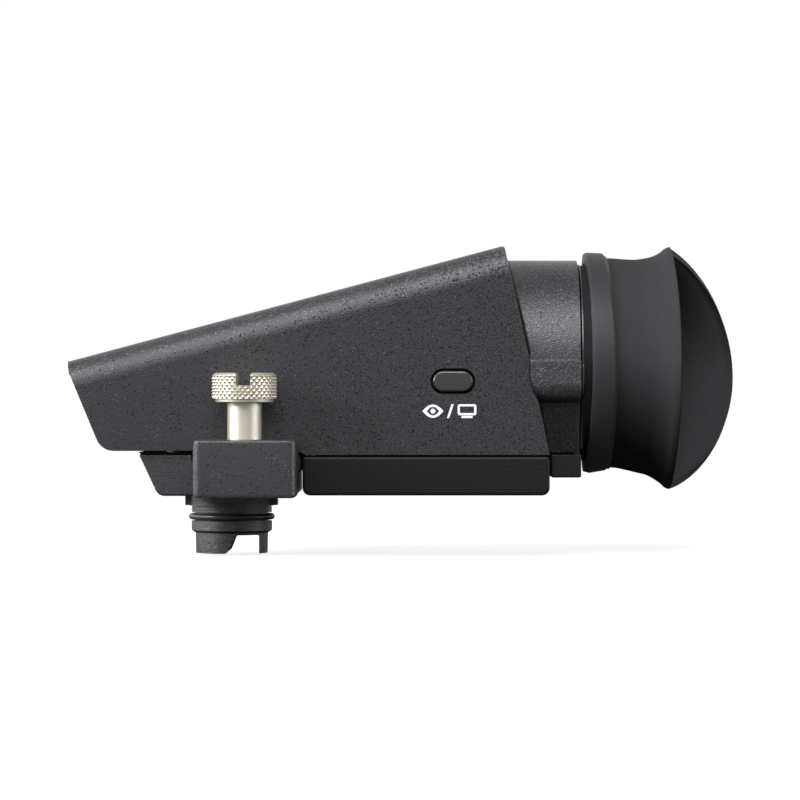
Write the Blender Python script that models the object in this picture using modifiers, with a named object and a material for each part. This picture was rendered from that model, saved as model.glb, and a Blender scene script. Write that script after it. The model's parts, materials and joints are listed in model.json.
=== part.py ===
"""Electronic viewfinder for a video camera, as an assembly of its separate pieces.

The origin lies on the axis of the connector plug, in the plane that seats on the camera.
+X points back to the eyepiece, +Z up, and the side with the button faces -Y.
All sizes are in metres.
"""

import math

import bmesh
import bpy
from mathutils import Matrix, Vector

# Clearances that all the pieces share
fit_gap = 0.0003
close_gap = 0.00015
overrun = 0.002
weld_distance = 0.00001

# The height of the optical axis over the seat, which the casing, housing and boards follow
optical_height = 0.0261

# The casing, a wedge whose roof rises towards the eyepiece
casing_half_width = 0.0218
casing_wall = 0.0012
casing_tip_reach = 0.0312
casing_tip_below_housing = 0.02037
casing_roof_reach = 0.0539
casing_joint_step = 0.00035
casing_floor_step = 0.00082
casing_roof_fillet = 0.0056
casing_nose_fillet = 0.0036
casing_edge_round = 0.0005
casing_lip_height = 0.0027
casing_lip_depth = 0.0002
casing_nose_stand_out = 0.00033
casing_step_round = 0.0005
casing_step_front = 0.0007
casing_step_back = 0.0005
roof_angle = math.radians(14.9)
rim_angle = math.radians(12.2)
nose_angle = math.radians(22.6)

# The cheek that swells out of the rear housing, and the notch that the casing leaves for it
cheek_top_rise = 0.0003
cheek_bottom_drop = 0.0078
cheek_stand_out = 0.0013
cheek_round = 0.0036
cheek_root_round = 0.0006
cheek_draft = 0.0003
cheek_notch_depth = 0.0008
cheek_edge_round = 0.0003

# The foot that seats on the camera, with the lug of its thumbscrew
foot_side_inset = 0.0012
foot_front_reach = 0.01715
foot_back_reach = 0.0144
foot_nose_angle = math.radians(25.0)
foot_nose_fillet = 0.0019
foot_chamfer = 0.0009
foot_chamfer_share = 0.534
foot_shadow_gap = 0.0006
foot_pad_nose_inset = 0.0004
foot_pad_back_reach = 0.0115
foot_pad_width = 0.032
lug_front_reach = 0.00573
lug_back_reach = 0.0139
lug_stand_out = 0.0152
lug_rise = 0.0023
lug_corner_round = 0.0015
lug_root_depth = 0.00025
lug_edge_round = 0.0004
lug_notch_width = 0.0012
lug_notch_depth = 0.0014

# The bottom cover and the cover under the eyepiece
cover_start = 0.0147
cover_end = 0.0627
cover_bottom_height = 0.00012
cover_top_gap = 0.00025
cover_stand_out = 0.0001
cover_corner_round = 0.0015
cover_edge_round = 0.0006
cover_wall = 0.0015
rear_cover_bottom_share = 0.432
rear_cover_side_inset = 0.0008
rear_cover_edge_round = 0.0004

# The eyepiece housing, round above and narrow below
housing_end = 0.06885
housing_front = 0.053
housing_side_inset = 0.00135
housing_lower_inset = 0.0029
housing_bottom_inset = 0.00265
housing_lower_lean = 0.004
housing_edge_round = 0.0005
housing_tube_wall = 0.0019
housing_tube_front = 0.0508
bulkhead_thickness = 0.002
bulkhead_recess = 0.0008

# The plate at the housing's end, with the neck that the eyecup turns on
plate_thickness = 0.0005
plate_inset = 0.0003
neck_inset = 0.001
neck_wall = 0.0021
neck_length = 0.00345
window_lip_length = 0.0013
window_lip_width = 0.0012
window_thickness = 0.0012
window_ring_length = 0.0007
window_ring_width = 0.002

# The eyecup and its collar
collar_front = 0.0703
collar_stand_out = 0.0016
collar_length = 0.0039
collar_rear_slope = 0.0005
collar_bore_length = 0.0027
collar_slant = 0.0007
collar_saddle = 0.00075
collar_edge_round = 0.0003
cup_base_inset = 0.0011
cup_wall = 0.0014
cup_rim_reach = 0.0874
cup_rim_near_bulge = 0.0006
cup_rim_top_flare = 0.0022
cup_rim_bottom_flare = 0.0043
cup_wing_length = 0.0152
cup_wing_flare = 0.0025
cup_lip_round = 0.00045
cup_station_shares = (0.0, 0.18, 0.36, 0.52, 0.66, 0.77, 0.86, 0.93, 0.98, 1.0)
cup_top_flare_shares = (0.0, -0.02, -0.11, -0.14, -0.02, 0.16, 0.45, 0.8, 0.97, 1.0)
cup_low_flare_shares = (0.0, 0.01, 0.12, 0.24, 0.35, 0.53, 0.72, 0.92, 0.99, 1.0)
cup_wing_top_power = 1.37
cup_wing_low_power = 1.24
cup_wing_peak_angle = math.radians(186)

# The lens group, which the dioptre dial moves along the optical axis
housing_wall = 0.004
carrier_wall = 0.0014
carrier_front = 0.0522
carrier_length = 0.0151
lens_rim_thickness = 0.0012
lens_bulge = 0.0018
first_lens_setback = 0.0006
lens_ring_length = 0.0009
lens_ring_width = 0.0014
dioptre_travel = 0.00115
dial_turn = math.radians(50)
dial_back_offset = 0.0041
dial_drop = 0.0038
dial_radius = 0.0038
dial_thickness = 0.0019
dial_edge_round = 0.0004
dial_shaft_radius = 0.0023
dial_shaft_gap = 0.0002
dial_pin_radius = 0.0007
dial_slot_depth = 0.0006
dial_slot_width = 0.0008
crank_gap = 0.00025

# The display, its holder and its board
display_side_margin = 0.0103
display_half_height = 0.009
display_thickness = 0.0014
display_border = 0.0018
holder_wall = 0.0024
holder_front = 0.0352
holder_flange_thickness = 0.0015
holder_flange_width = 0.0003
holder_flange_half_height = 0.0165
holder_shelf_depth = 0.0006
driver_board_thickness = 0.001
driver_board_margin = 0.0012
ribbon_half_width = 0.005
ribbon_thickness = 0.0003
ribbon_drop = 0.0022
ribbon_rise_share = 0.2
ribbon_sag_share = 0.17

# The main board and its standoffs
board_front_setback = 0.0107
board_back = 0.0122
board_side_margin = 0.0053
board_thickness = 0.0012
board_rise = 0.0053
standoff_radius = 0.0018
standoff_inset = 0.0028
chip_size = 0.011
chip_thickness = 0.0016
socket_length = 0.0035
socket_thickness = 0.0016

# The button and its switch
button_back = 0.0439
button_drop = 0.0038
button_length = 0.00775
button_width = 0.004
button_side_gap = 0.0005
button_stand_out = 0.0005
button_edge_round = 0.0004
button_flange = 0.0009
button_flange_thickness = 0.0007
button_travel = 0.0005
switch_size = 0.0045
switch_thickness = 0.0015
switch_plunger_radius = 0.001
switch_board_length = 0.0062
switch_board_thickness = 0.0009
switch_post_radius = 0.0011

# The thumbscrew and the ring that keeps it in the lug
screw_stand_out = 0.0075
screw_back_offset = 0.0038
screw_head_radius = 0.0063
screw_head_height = 0.0057
screw_head_round = 0.0011
screw_head_collar = 0.0006
screw_head_collar_step = 0.0006
screw_shank_radius = 0.0033
screw_lift = 0.0071
screw_thread_radius = 0.0025
screw_thread_depth = 0.0004
screw_thread_pitch = 0.0008
screw_thread_turns = 6
screw_tip_height = 0.0006
screw_slot_width = 0.00275
screw_slot_depth = 0.0024
screw_ceiling = 0.0025
screw_chamber_radius = 0.0056
screw_ring_radius = 0.0052
screw_ring_thickness = 0.0008
screw_ring_mouth = 0.0034
screw_neck_radius = 0.0026

# The connector plug
plug_bore_radius = 0.00545
plug_stem_radius = 0.007
plug_stem_drop = 0.0007
plug_collar_radius = 0.0085
plug_collar_drop = 0.0024
plug_key_radius = 0.0092
plug_key_drop = 0.0023
plug_key_half_width = 0.0025
plug_groove_line = 0.0002
plug_land_radius = 0.008
plug_land_drop = 0.0037
plug_ring_groove_drop = 0.00545
plug_ring_groove_radius = 0.00705
plug_lower_land_radius = 0.00805
plug_lower_land_drop = 0.0073
plug_skirt_radius = 0.00725
plug_skirt_start = 0.00785
plug_skirt_drop = 0.01185
plug_skirt_draft = 0.0001
plug_window_top = 0.0082
plug_window_back = 0.0056
plug_window_front = 0.00095
plug_window_foot = -0.00055
plug_window_round = 0.0012
plug_seat_recess = 0.0004
plug_seat_margin = 0.0004
nut_radius = 0.01
nut_thickness = 0.0024
ring_section_radius = 0.00063
ring_outer_radius = 0.0086
insert_face_drop = 0.0056
pin_radius = 0.0004
pin_stand_out = 0.001
pin_pitch = 0.0022
pin_row_offset = 0.0016
pins_in_row = 4
harness_radius = 0.0022

# The screws that hold the pieces together
cover_screw_head_radius = 0.002
cover_screw_head_height = 0.0013
cover_screw_radius = 0.0011
cover_screw_reach = 0.0045
cover_screw_side_inset = 0.0043
cover_screw_front = 0.021
cover_screw_back = 0.049
cover_post_radius = 0.0032
foot_screw_head_radius = 0.0022
foot_screw_head_height = 0.0014
foot_screw_radius = 0.00125
foot_screw_tip_height = 0.0039
foot_screw_side_inset = 0.0073
foot_screw_front = -0.0108
foot_screw_back = 0.0095
rear_screw_head_radius = 0.0017
rear_screw_head_height = 0.001
rear_screw_radius = 0.001
rear_screw_depth = 0.0035
rear_screw_side_inset = 0.011
screw_recess_share = 0.5
screw_recess_depth_share = 0.6
boss_half_length = 0.003
boss_height = 0.006

# Counts of facets
large_sides = 40
middle_sides = 24
small_sides = 12
pin_sides = 8
arc_steps = 5
fine_arc_steps = 3
cup_sides = 36

# Places that follow from the sizes above
roof_slope = math.tan(roof_angle)
rim_slope = math.tan(rim_angle)
nose_slope = math.tan(nose_angle)
housing_radius = casing_half_width - housing_side_inset
housing_lower_half_width = housing_radius - housing_lower_inset
housing_bottom_height = optical_height - housing_radius + housing_bottom_inset
casing_joint_height = housing_bottom_height - casing_joint_step
casing_floor_height = casing_joint_height + casing_floor_step
casing_tip_height = optical_height + housing_radius - casing_tip_below_housing
casing_length = casing_tip_reach + casing_roof_reach
casing_roof_height = casing_tip_height + casing_length * roof_slope
cavity_half_width = casing_half_width - casing_wall
cavity_floor_height = casing_floor_height + casing_wall
cheek_half_width = housing_radius + cheek_stand_out
cheek_top_height = optical_height + cheek_top_rise
cheek_bottom_height = optical_height - cheek_bottom_drop
cheek_middle_height = (cheek_top_height + cheek_bottom_height) / 2
foot_half_width = casing_half_width - foot_side_inset
foot_top_height = casing_floor_height - foot_shadow_gap
foot_pad_height = casing_floor_height - fit_gap
foot_chamfer_height = foot_top_height * foot_chamfer_share
lug_height = casing_floor_height + lug_rise
lug_side_reach = casing_half_width + lug_stand_out
cover_top_height = casing_joint_height - cover_top_gap
cover_half_width = casing_half_width + cover_stand_out
cover_screw_side = casing_half_width - cover_screw_side_inset
foot_screw_side = casing_half_width - foot_screw_side_inset
rear_screw_side = casing_half_width - rear_screw_side_inset
rear_cover_half_width = casing_half_width - rear_cover_side_inset
rear_cover_bottom_height = housing_bottom_height * rear_cover_bottom_share
neck_radius = housing_radius - neck_inset
neck_bore_radius = neck_radius - neck_wall
window_lip_radius = neck_bore_radius - window_lip_width
window_ring_opening = neck_bore_radius - fit_gap - window_ring_width
collar_radius = housing_radius + collar_stand_out
cup_base_radius = collar_radius - cup_base_inset
cup_rim_top_radius = cup_base_radius + cup_rim_top_flare
cup_rim_bottom_radius = cup_base_radius + cup_rim_bottom_flare
plate_front = housing_end + fit_gap
plate_back = plate_front + plate_thickness
neck_end = plate_front + neck_length
window_front = plate_front + window_lip_length + fit_gap
window_ring_front = window_front + window_thickness + fit_gap
collar_bore_radius = neck_radius + fit_gap
cup_base_front = collar_front + collar_bore_length + fit_gap
cup_rim_mean_radius = (cup_rim_top_radius + cup_rim_bottom_radius) / 2
bore_radius = housing_radius - housing_wall
carrier_radius = bore_radius - fit_gap
carrier_bore_radius = carrier_radius - carrier_wall
carrier_back = carrier_front + carrier_length
lens_radius = carrier_bore_radius - fit_gap
dial_back = housing_end - dial_back_offset
dial_height = optical_height - dial_drop
crank_radius = dioptre_travel / math.sin(dial_turn)
dial_side = cheek_half_width + fit_gap
holder_back = housing_tube_front - fit_gap
display_half_width = casing_half_width - display_side_margin
board_front = -casing_tip_reach + board_front_setback
board_height = casing_floor_height + board_rise
board_half_width = casing_half_width - board_side_margin
board_underside = board_height - board_thickness
button_height = optical_height - button_drop
button_face = casing_half_width + button_stand_out
button_flange_face = cavity_half_width - fit_gap
button_flange_back = button_flange_face - button_flange_thickness
switch_face = button_flange_back - fit_gap - button_travel
switch_back = switch_face - switch_thickness
switch_board_face = switch_back - fit_gap
screw_side_offset = casing_half_width + screw_stand_out
screw_head_bottom = lug_height + screw_lift
screw_chamber_top = lug_height - screw_ceiling
screw_ring_top = screw_chamber_top - fit_gap
screw_ring_bottom = screw_ring_top - screw_ring_thickness
plug_collar_top = plug_seat_recess - fit_gap
plug_stem_top = foot_pad_height - plug_stem_drop
nut_bottom = plug_stem_top - nut_thickness


def rim_x(height):
    """The casing's rear rim at a height: it leans back towards the foot."""
    return casing_roof_reach + (casing_roof_height - height) * rim_slope


def cheek_notch_centre(radius):
    """The centre of the round notch, which bites the casing's leaning rim by the notch's depth."""
    away = radius - cheek_notch_depth
    return (rim_x(cheek_middle_height) + away * math.cos(rim_angle),
            cheek_middle_height + away * math.sin(rim_angle))


def cheek_notch_radius():
    """An arc over the cheek's height whose rise is the notch's depth."""
    half_chord = (cheek_top_height - cheek_bottom_height) / 2 / math.cos(rim_angle)
    return (half_chord ** 2 + cheek_notch_depth ** 2) / (2 * cheek_notch_depth)


# Scene, collections and materials


def clear_scene():
    for item in list(bpy.data.objects):
        bpy.data.objects.remove(item, do_unlink=True)


def new_collection(name):
    collection = bpy.data.collections.new(name)
    bpy.context.scene.collection.children.link(collection)
    return collection


def new_material(name, colour, roughness, metallic=0.0):
    material = bpy.data.materials.new(name)
    material.use_nodes = True
    shader = material.node_tree.nodes["Principled BSDF"]
    shader.inputs["Base Color"].default_value = (*colour, 1.0)
    shader.inputs["Roughness"].default_value = roughness
    shader.inputs["Metallic"].default_value = metallic
    material.diffuse_color = (*colour, 1.0)
    return material


clear_scene()
parts = new_collection("electronic_viewfinder")
cutters = new_collection("cutters")
textured_black = new_material("textured_black_paint", (0.058, 0.056, 0.060), 0.55)
cover_black = new_material("cover_black_plastic", (0.035, 0.034, 0.036), 0.6)
plate_black = new_material("black_anodised_plate", (0.030, 0.030, 0.031), 0.35, 0.6)
soft_rubber = new_material("soft_black_rubber", (0.045, 0.045, 0.047), 0.75)
seal_rubber = new_material("seal_rubber", (0.018, 0.018, 0.019), 0.4)
warm_nickel = new_material("satin_nickel", (0.58, 0.55, 0.48), 0.3, 1.0)
spring_steel = new_material("spring_steel", (0.45, 0.45, 0.46), 0.35, 1.0)
black_steel = new_material("blackened_steel", (0.05, 0.05, 0.052), 0.4, 0.9)
coated_glass = new_material("coated_glass", (0.55, 0.58, 0.62), 0.03)
inner_black = new_material("matt_inner_black", (0.012, 0.012, 0.013), 0.8)
board_green = new_material("circuit_board", (0.02, 0.10, 0.05), 0.5)
chip_black = new_material("chip_resin", (0.02, 0.02, 0.022), 0.45)
panel_glass = new_material("display_panel", (0.008, 0.009, 0.012), 0.08)
ribbon_amber = new_material("ribbon_polyimide", (0.45, 0.20, 0.04), 0.4)
gold_contact = new_material("gold_contact", (0.83, 0.60, 0.25), 0.25, 1.0)


# Shapes


def place(name, mesh, material, cutter=False):
    """Make an object for a mesh, among the parts or among the cutters."""
    item = bpy.data.objects.new(name, mesh)
    (cutters if cutter else parts).objects.link(item)
    if cutter:
        item.hide_render = True
        item.display_type = 'WIRE'
    else:
        mesh.materials.clear()
        mesh.materials.append(material)
    return item


def baked_mesh(item, name):
    """The object's evaluated mesh, in its own coordinates."""
    bpy.context.view_layer.update()
    depsgraph = bpy.context.evaluated_depsgraph_get()
    mesh = bpy.data.meshes.new_from_object(item.evaluated_get(depsgraph))
    mesh.name = name
    return mesh


def arc_corners(corners, steps=arc_steps):
    """Turn corners given as (u, v, radius) into an outline with round corners.

    Two round corners that share a side share its length by their radii.
    """
    outline = []
    count = len(corners)
    for index, (u, v, radius) in enumerate(corners):
        here = Vector((u, v))
        if radius == 0:
            outline.append(here)
            continue
        before_u, before_v, before_radius = corners[index - 1]
        after_u, after_v, after_radius = corners[(index + 1) % count]
        before = Vector((before_u, before_v)) - here
        after = Vector((after_u, after_v)) - here
        half_angle = before.angle(after) / 2
        before_room = before.length * radius / (radius + before_radius)
        after_room = after.length * radius / (radius + after_radius)
        reach = min(radius / math.tan(half_angle), before_room, after_room)
        fitted = reach * math.tan(half_angle)
        middle = (before.normalized() + after.normalized()).normalized()
        centre = here + middle * (fitted / math.sin(half_angle))
        first = (here + before.normalized() * reach - centre).normalized()
        last = (here + after.normalized() * reach - centre).normalized()
        for step in range(steps + 1):
            outline.append(centre + first.slerp(last, step / steps) * fitted)
    return outline


def axis_frame(axis):
    """The turn that takes a flat outline's normal to an axis, with Z kept upright."""
    if axis == 'X':
        return Matrix(((0, 0, 1, 0), (1, 0, 0, 0), (0, 1, 0, 0), (0, 0, 0, 1)))
    if axis == 'Y':
        return Matrix(((1, 0, 0, 0), (0, 0, -1, 0), (0, 1, 0, 0), (0, 0, 0, 1)))
    return Matrix.Identity(4)


def prism(name, outline, low, high, axis, material=None, edge_round=0.0):
    """A flat outline carried along an axis from low to high.

    The outline is (y, z) along X, (x, z) along Y and (x, y) along Z.
    """
    curve = bpy.data.curves.new(name, 'CURVE')
    curve.dimensions = '2D'
    curve.fill_mode = 'BOTH'
    curve.extrude = (high - low) / 2
    spline = curve.splines.new('POLY')
    spline.points.add(len(outline) - 1)
    for point, (u, v) in zip(spline.points, outline):
        point.co = (u, v, 0, 1)
    spline.use_cyclic_u = True
    flat = bpy.data.objects.new(name, curve)
    cutters.objects.link(flat)
    mesh = baked_mesh(flat, name)
    bpy.data.objects.remove(flat, do_unlink=True)
    bpy.data.curves.remove(curve)
    middle = {'X': Vector((1, 0, 0)), 'Y': Vector((0, 1, 0)), 'Z': Vector((0, 0, 1))}[axis]
    mesh.transform(Matrix.Translation(middle * (low + high) / 2) @ axis_frame(axis))
    form = bmesh.new()
    form.from_mesh(mesh)
    bmesh.ops.remove_doubles(form, verts=form.verts, dist=weld_distance / 4)
    bmesh.ops.dissolve_limit(form, angle_limit=math.radians(0.5), verts=form.verts, edges=form.edges)
    bmesh.ops.recalc_face_normals(form, faces=form.faces)
    form.to_mesh(mesh)
    form.free()
    item = place(name, mesh, material, cutter=material is None)
    if edge_round:
        round_edges(item, edge_round)
    return item


def block(name, low, high, material=None, edge_round=0.0):
    """A box between two corners."""
    form = bmesh.new()
    bmesh.ops.create_cube(form, size=1)
    size = Vector(high) - Vector(low)
    middle = (Vector(high) + Vector(low)) / 2
    matrix = Matrix.Translation(middle) @ Matrix.Diagonal((*size, 1))
    bmesh.ops.transform(form, matrix=matrix, verts=form.verts)
    mesh = bpy.data.meshes.new(name)
    form.to_mesh(mesh)
    form.free()
    item = place(name, mesh, material, cutter=material is None)
    if edge_round:
        round_edges(item, edge_round)
    return item


def rod(name, radius, start, end, sides, material=None):
    """A round bar between two points on a line along X, Y or Z."""
    start, end = Vector(start), Vector(end)
    form = bmesh.new()
    bmesh.ops.create_cone(form, cap_ends=True, segments=sides, radius1=radius, radius2=radius,
                          depth=(end - start).length)
    turn = (end - start).to_track_quat('Z', 'Y').to_matrix().to_4x4()
    matrix = Matrix.Translation((start + end) / 2) @ turn
    bmesh.ops.transform(form, matrix=matrix, verts=form.verts)
    mesh = bpy.data.meshes.new(name)
    form.to_mesh(mesh)
    form.free()
    return place(name, mesh, material, cutter=material is None)


def turned(name, profile, sides, material=None, axis='Z', at=(0, 0, 0)):
    """A profile of (radius, height) points turned about an axis through a point.

    A profile that starts and ends on the axis is a solid; any other is closed into a ring.
    """
    mesh = bpy.data.meshes.new(name)
    verts = [(radius, 0, height) for radius, height in profile]
    edges = [(index, index + 1) for index in range(len(profile) - 1)]
    if profile[0][0] > 0:
        edges.append((len(profile) - 1, 0))
    mesh.from_pydata(verts, edges, [])
    item = place(name, mesh, material, cutter=material is None)
    screw = item.modifiers.new("turn", 'SCREW')
    screw.steps = sides
    screw.render_steps = sides
    screw.use_merge_vertices = True
    screw.merge_threshold = weld_distance
    item.rotation_euler = {'X': (0, math.pi / 2, 0), 'Y': (-math.pi / 2, 0, 0), 'Z': (0, 0, 0)}[axis]
    item.location = at
    return item


def centre_on(item, point):
    """Put an object's origin on a point of its joint's axis, without moving its shape."""
    item.data.transform(Matrix.Translation(-Vector(point)))
    item.location = point
    return item


def round_edges(item, width, segments=2, limit=35):
    bevel = item.modifiers.new("round", 'BEVEL')
    bevel.width = width
    bevel.segments = segments
    bevel.limit_method = 'ANGLE'
    bevel.angle_limit = math.radians(limit)
    bevel.use_clamp_overlap = True
    return bevel


def combine(item, tool, operation):
    """Cut, join or trim an object with a tool from the cutters."""
    boolean = item.modifiers.new(operation.lower(), 'BOOLEAN')
    boolean.operation = operation
    boolean.solver = 'EXACT'
    boolean.object = tool
    return item


def cut(item, *tools):
    for tool in tools:
        combine(item, tool, 'DIFFERENCE')
    return item


def join(item, *tools):
    for tool in tools:
        combine(item, tool, 'UNION')
    return item


def trim(item, *tools):
    for tool in tools:
        combine(item, tool, 'INTERSECT')
    return item


def smooth_rounds(item, angle=35):
    """Shade round walls smooth and keep real corners sharp."""
    item.data.shade_smooth()
    item.data.set_sharp_from_angle(angle=math.radians(angle))
    return item


def stadium(centre_u, centre_v, length, width, steps=arc_steps):
    """A slot outline with half-round ends, long along its first direction."""
    radius = width / 2
    straight = length / 2 - radius
    outline = []
    for side in (1, -1):
        for step in range(2 * steps + 1):
            angle = math.pi * (step / (2 * steps) - 0.5) + (0 if side > 0 else math.pi)
            u = centre_u + side * straight + radius * math.cos(angle)
            v = centre_v + radius * math.sin(angle)
            outline.append((u, v))
    return outline


# The casing


def roof_prism(name, inset):
    """A long bar under the roof's plane, with the casing's width and its round shoulders."""
    half_width = casing_half_width - inset
    shoulder = casing_roof_fillet - inset
    depth = casing_length
    section = arc_corners([(-half_width, -depth, 0), (half_width, -depth, 0),
                           (half_width, -inset, shoulder), (-half_width, -inset, shoulder)],
                          steps=arc_steps + 1)
    bar = prism(name, section, -casing_length, 2 * casing_length, 'X')
    bar.rotation_euler = (0, -roof_angle, 0)
    bar.location = (-casing_tip_reach, 0, casing_tip_height)
    return bar


def nose_x(height):
    """The slanted front face at a height."""
    tip_x = -casing_tip_reach - casing_nose_stand_out
    return tip_x + (casing_tip_height - height) * nose_slope


def casing_outline():
    """The casing seen from the side."""
    lip_bottom = casing_tip_height - casing_lip_height
    lip_x = nose_x(lip_bottom) - casing_lip_depth
    return arc_corners([
        (-casing_tip_reach, casing_tip_height, 0),
        (lip_x, lip_bottom, 0),
        (nose_x(lip_bottom), lip_bottom, 0),
        (nose_x(casing_floor_height), casing_floor_height, casing_nose_fillet),
        (cover_start - casing_step_front, casing_floor_height, casing_step_round),
        (cover_start + casing_step_back, casing_joint_height, casing_step_round),
        (rim_x(casing_joint_height), casing_joint_height, 0),
        (casing_roof_reach, casing_roof_height, casing_edge_round),
    ])


def cavity_outline():
    """The hollow seen from the side: closed in front, open below behind the step and at the rim."""
    behind = rim_x(0) + overrun
    wall_on_nose = casing_wall / math.cos(nose_angle)
    open_from = cover_start + casing_wall
    beyond_roof = casing_tip_height + (behind + casing_tip_reach) * roof_slope + casing_wall
    front = nose_x(cavity_floor_height) + wall_on_nose
    roof_front = nose_x(casing_tip_height) + wall_on_nose
    return arc_corners([
        (roof_front, casing_tip_height + casing_wall, 0),
        (front, cavity_floor_height, casing_nose_fillet / 2),
        (open_from, cavity_floor_height, 0),
        (open_from, casing_joint_height - overrun, 0),
        (behind, casing_joint_height - overrun, 0),
        (behind, beyond_roof, 0),
    ])


def build_upper_casing():
    """The wedge-shaped shell, with its button hole, bosses and the notches for the cheeks."""
    shell = prism("upper_casing", casing_outline(), -casing_half_width, casing_half_width, 'Y',
                  textured_black)
    round_edges(shell, casing_edge_round, limit=60)
    trim(shell, roof_prism("casing_roof_bar", 0))
    cavity = prism("casing_cavity", cavity_outline(), -cavity_half_width, cavity_half_width, 'Y')
    trim(cavity, roof_prism("cavity_roof_bar", casing_wall))
    cut(shell, cavity, cheek_notch("casing_cheek_notch", 0))
    join(shell, *casing_bosses(), *board_standoffs(), *switch_posts())
    cut(shell, *cover_screw_holes("casing"), *foot_screw_holes("casing"), button_hole())
    cut(shell, rod("casing_harness_hole", harness_radius + fit_gap, (0, 0, casing_joint_height),
                   (0, 0, cavity_floor_height + overrun), small_sides))
    return smooth_rounds(shell)


def cheek_notch(name, gap):
    """The round bar across the casing that bites the notches out of its rim."""
    radius = cheek_notch_radius()
    x, height = cheek_notch_centre(radius)
    return rod(name, radius - gap, (x, -casing_half_width - overrun, height),
               (x, casing_half_width + overrun, height), 2 * large_sides)


def cover_screw_places():
    return [(x, side * cover_screw_side) for x in (cover_screw_front, cover_screw_back)
            for side in (-1, 1)]


def foot_screw_places():
    return [(x, side * foot_screw_side) for x in (foot_screw_front, foot_screw_back)
            for side in (-1, 1)]


def rear_screw_places():
    x = (cover_end + housing_end) / 2
    return [(x, -rear_screw_side), (x, rear_screw_side)]


def standoff_places():
    reach = board_half_width - standoff_inset
    front = board_front + standoff_inset
    back = board_back - standoff_inset
    return [(front, -reach / 2), (front, reach / 2), (back, -reach / 2), (back, reach / 2)]


def casing_bosses():
    """Blocks on the side walls that take the cover's screws."""
    bosses = []
    for index, (x, y) in enumerate(cover_screw_places()):
        side = 1 if y > 0 else -1
        inner = abs(y) - cover_screw_radius - casing_wall
        outer = cavity_half_width + casing_wall / 2
        low_y, high_y = sorted((side * inner, side * outer))
        bottom = casing_joint_height + fit_gap
        bosses.append(block(f"casing_boss_{index + 1}", (x - boss_half_length, low_y, bottom),
                            (x + boss_half_length, high_y, bottom + boss_height)))
    return bosses


def board_standoffs():
    posts = []
    for index, (x, y) in enumerate(standoff_places()):
        posts.append(rod(f"board_standoff_{index + 1}", standoff_radius,
                         (x, y, cavity_floor_height - casing_wall / 2),
                         (x, y, board_underside - fit_gap), small_sides))
    return posts


def switch_posts():
    """Two short posts, above and below the button, that carry the switch board behind it."""
    reach = button_width / 2 + button_flange + fit_gap + switch_post_radius
    posts = []
    for index, height in enumerate((button_height - reach, button_height + reach)):
        posts.append(rod(f"switch_post_{index + 1}", switch_post_radius,
                         (button_back, -cavity_half_width - casing_wall / 2, height),
                         (button_back, -switch_board_face - fit_gap, height), small_sides))
    return posts


def button_hole():
    outline = stadium(button_back, button_height, button_length + 2 * button_side_gap,
                      button_width + 2 * button_side_gap)
    return prism("button_hole", outline, -casing_half_width - overrun,
                 -cavity_half_width + overrun / 2, 'Y')


def cover_screw_holes(owner):
    """Holes for the cover's screws, through the cover's posts and into the casing's bosses."""
    holes = []
    for index, (x, y) in enumerate(cover_screw_places()):
        low = cover_bottom_height - overrun
        high = casing_joint_height + fit_gap + cover_screw_reach + fit_gap
        holes.append(rod(f"{owner}_cover_screw_hole_{index + 1}", cover_screw_radius + close_gap,
                         (x, y, low), (x, y, high), small_sides))
    return holes


def foot_screw_holes(owner):
    """Holes for the screws that go down through the casing's floor into the foot."""
    holes = []
    for index, (x, y) in enumerate(foot_screw_places()):
        low = foot_screw_tip_height - fit_gap
        holes.append(rod(f"{owner}_foot_screw_hole_{index + 1}", foot_screw_radius + fit_gap / 2,
                         (x, y, low), (x, y, cavity_floor_height + overrun), small_sides))
    return holes


# The foot


def foot_outline():
    nose_run = foot_top_height * math.tan(foot_nose_angle)
    return arc_corners([
        (-foot_front_reach, foot_top_height, 0),
        (-foot_front_reach + nose_run, 0, foot_nose_fillet),
        (foot_back_reach - foot_chamfer, 0, 0),
        (foot_back_reach - foot_chamfer, foot_chamfer_height, 0),
        (foot_back_reach, foot_chamfer_height + foot_chamfer, 0),
        (foot_back_reach, foot_top_height, 0),
    ])


def build_mount_foot():
    """The foot: a slab under the casing's nose, with the thumbscrew's lug on one side."""
    foot = prism("mount_foot", foot_outline(), -foot_half_width, foot_half_width, 'Y',
                 textured_black, casing_edge_round)
    pad = block("foot_pad",
                (-foot_front_reach + foot_pad_nose_inset, -foot_pad_width / 2,
                 foot_top_height - close_gap),
                (foot_pad_back_reach, foot_pad_width / 2, foot_pad_height))
    join(foot, pad, cut(lug_block(), lug_shoulder_cut()))
    cut(foot, foot_plug_bore(), *screw_bores(), *foot_screw_holes("foot"))
    cut(foot, lug_notch())
    return smooth_rounds(foot)


def lug_block():
    outline = arc_corners([
        (-lug_front_reach, -foot_half_width + lug_root_depth, 0),
        (-lug_front_reach, -lug_side_reach, lug_corner_round),
        (lug_back_reach, -lug_side_reach, lug_corner_round),
        (lug_back_reach, -foot_half_width + lug_root_depth, 0),
    ])
    return prism("lug_block", outline, 0, lug_height, 'Z', edge_round=lug_edge_round)


def lug_shoulder_cut():
    """The lug stands clear of the casing's side where it rises above the foot."""
    return block("lug_shoulder_cut",
                 (-lug_front_reach - overrun, -casing_half_width - fit_gap,
                  foot_top_height + close_gap),
                 (lug_back_reach + overrun, -foot_half_width + overrun, lug_height + overrun))


def lug_notch():
    """A small notch in the foot's upper edge, in front of the lug."""
    return block("lug_notch",
                 (-lug_front_reach - lug_notch_width, -foot_half_width - close_gap,
                  foot_top_height - lug_notch_depth),
                 (-lug_front_reach + close_gap, -foot_half_width + lug_notch_width,
                  foot_top_height + overrun))


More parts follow.
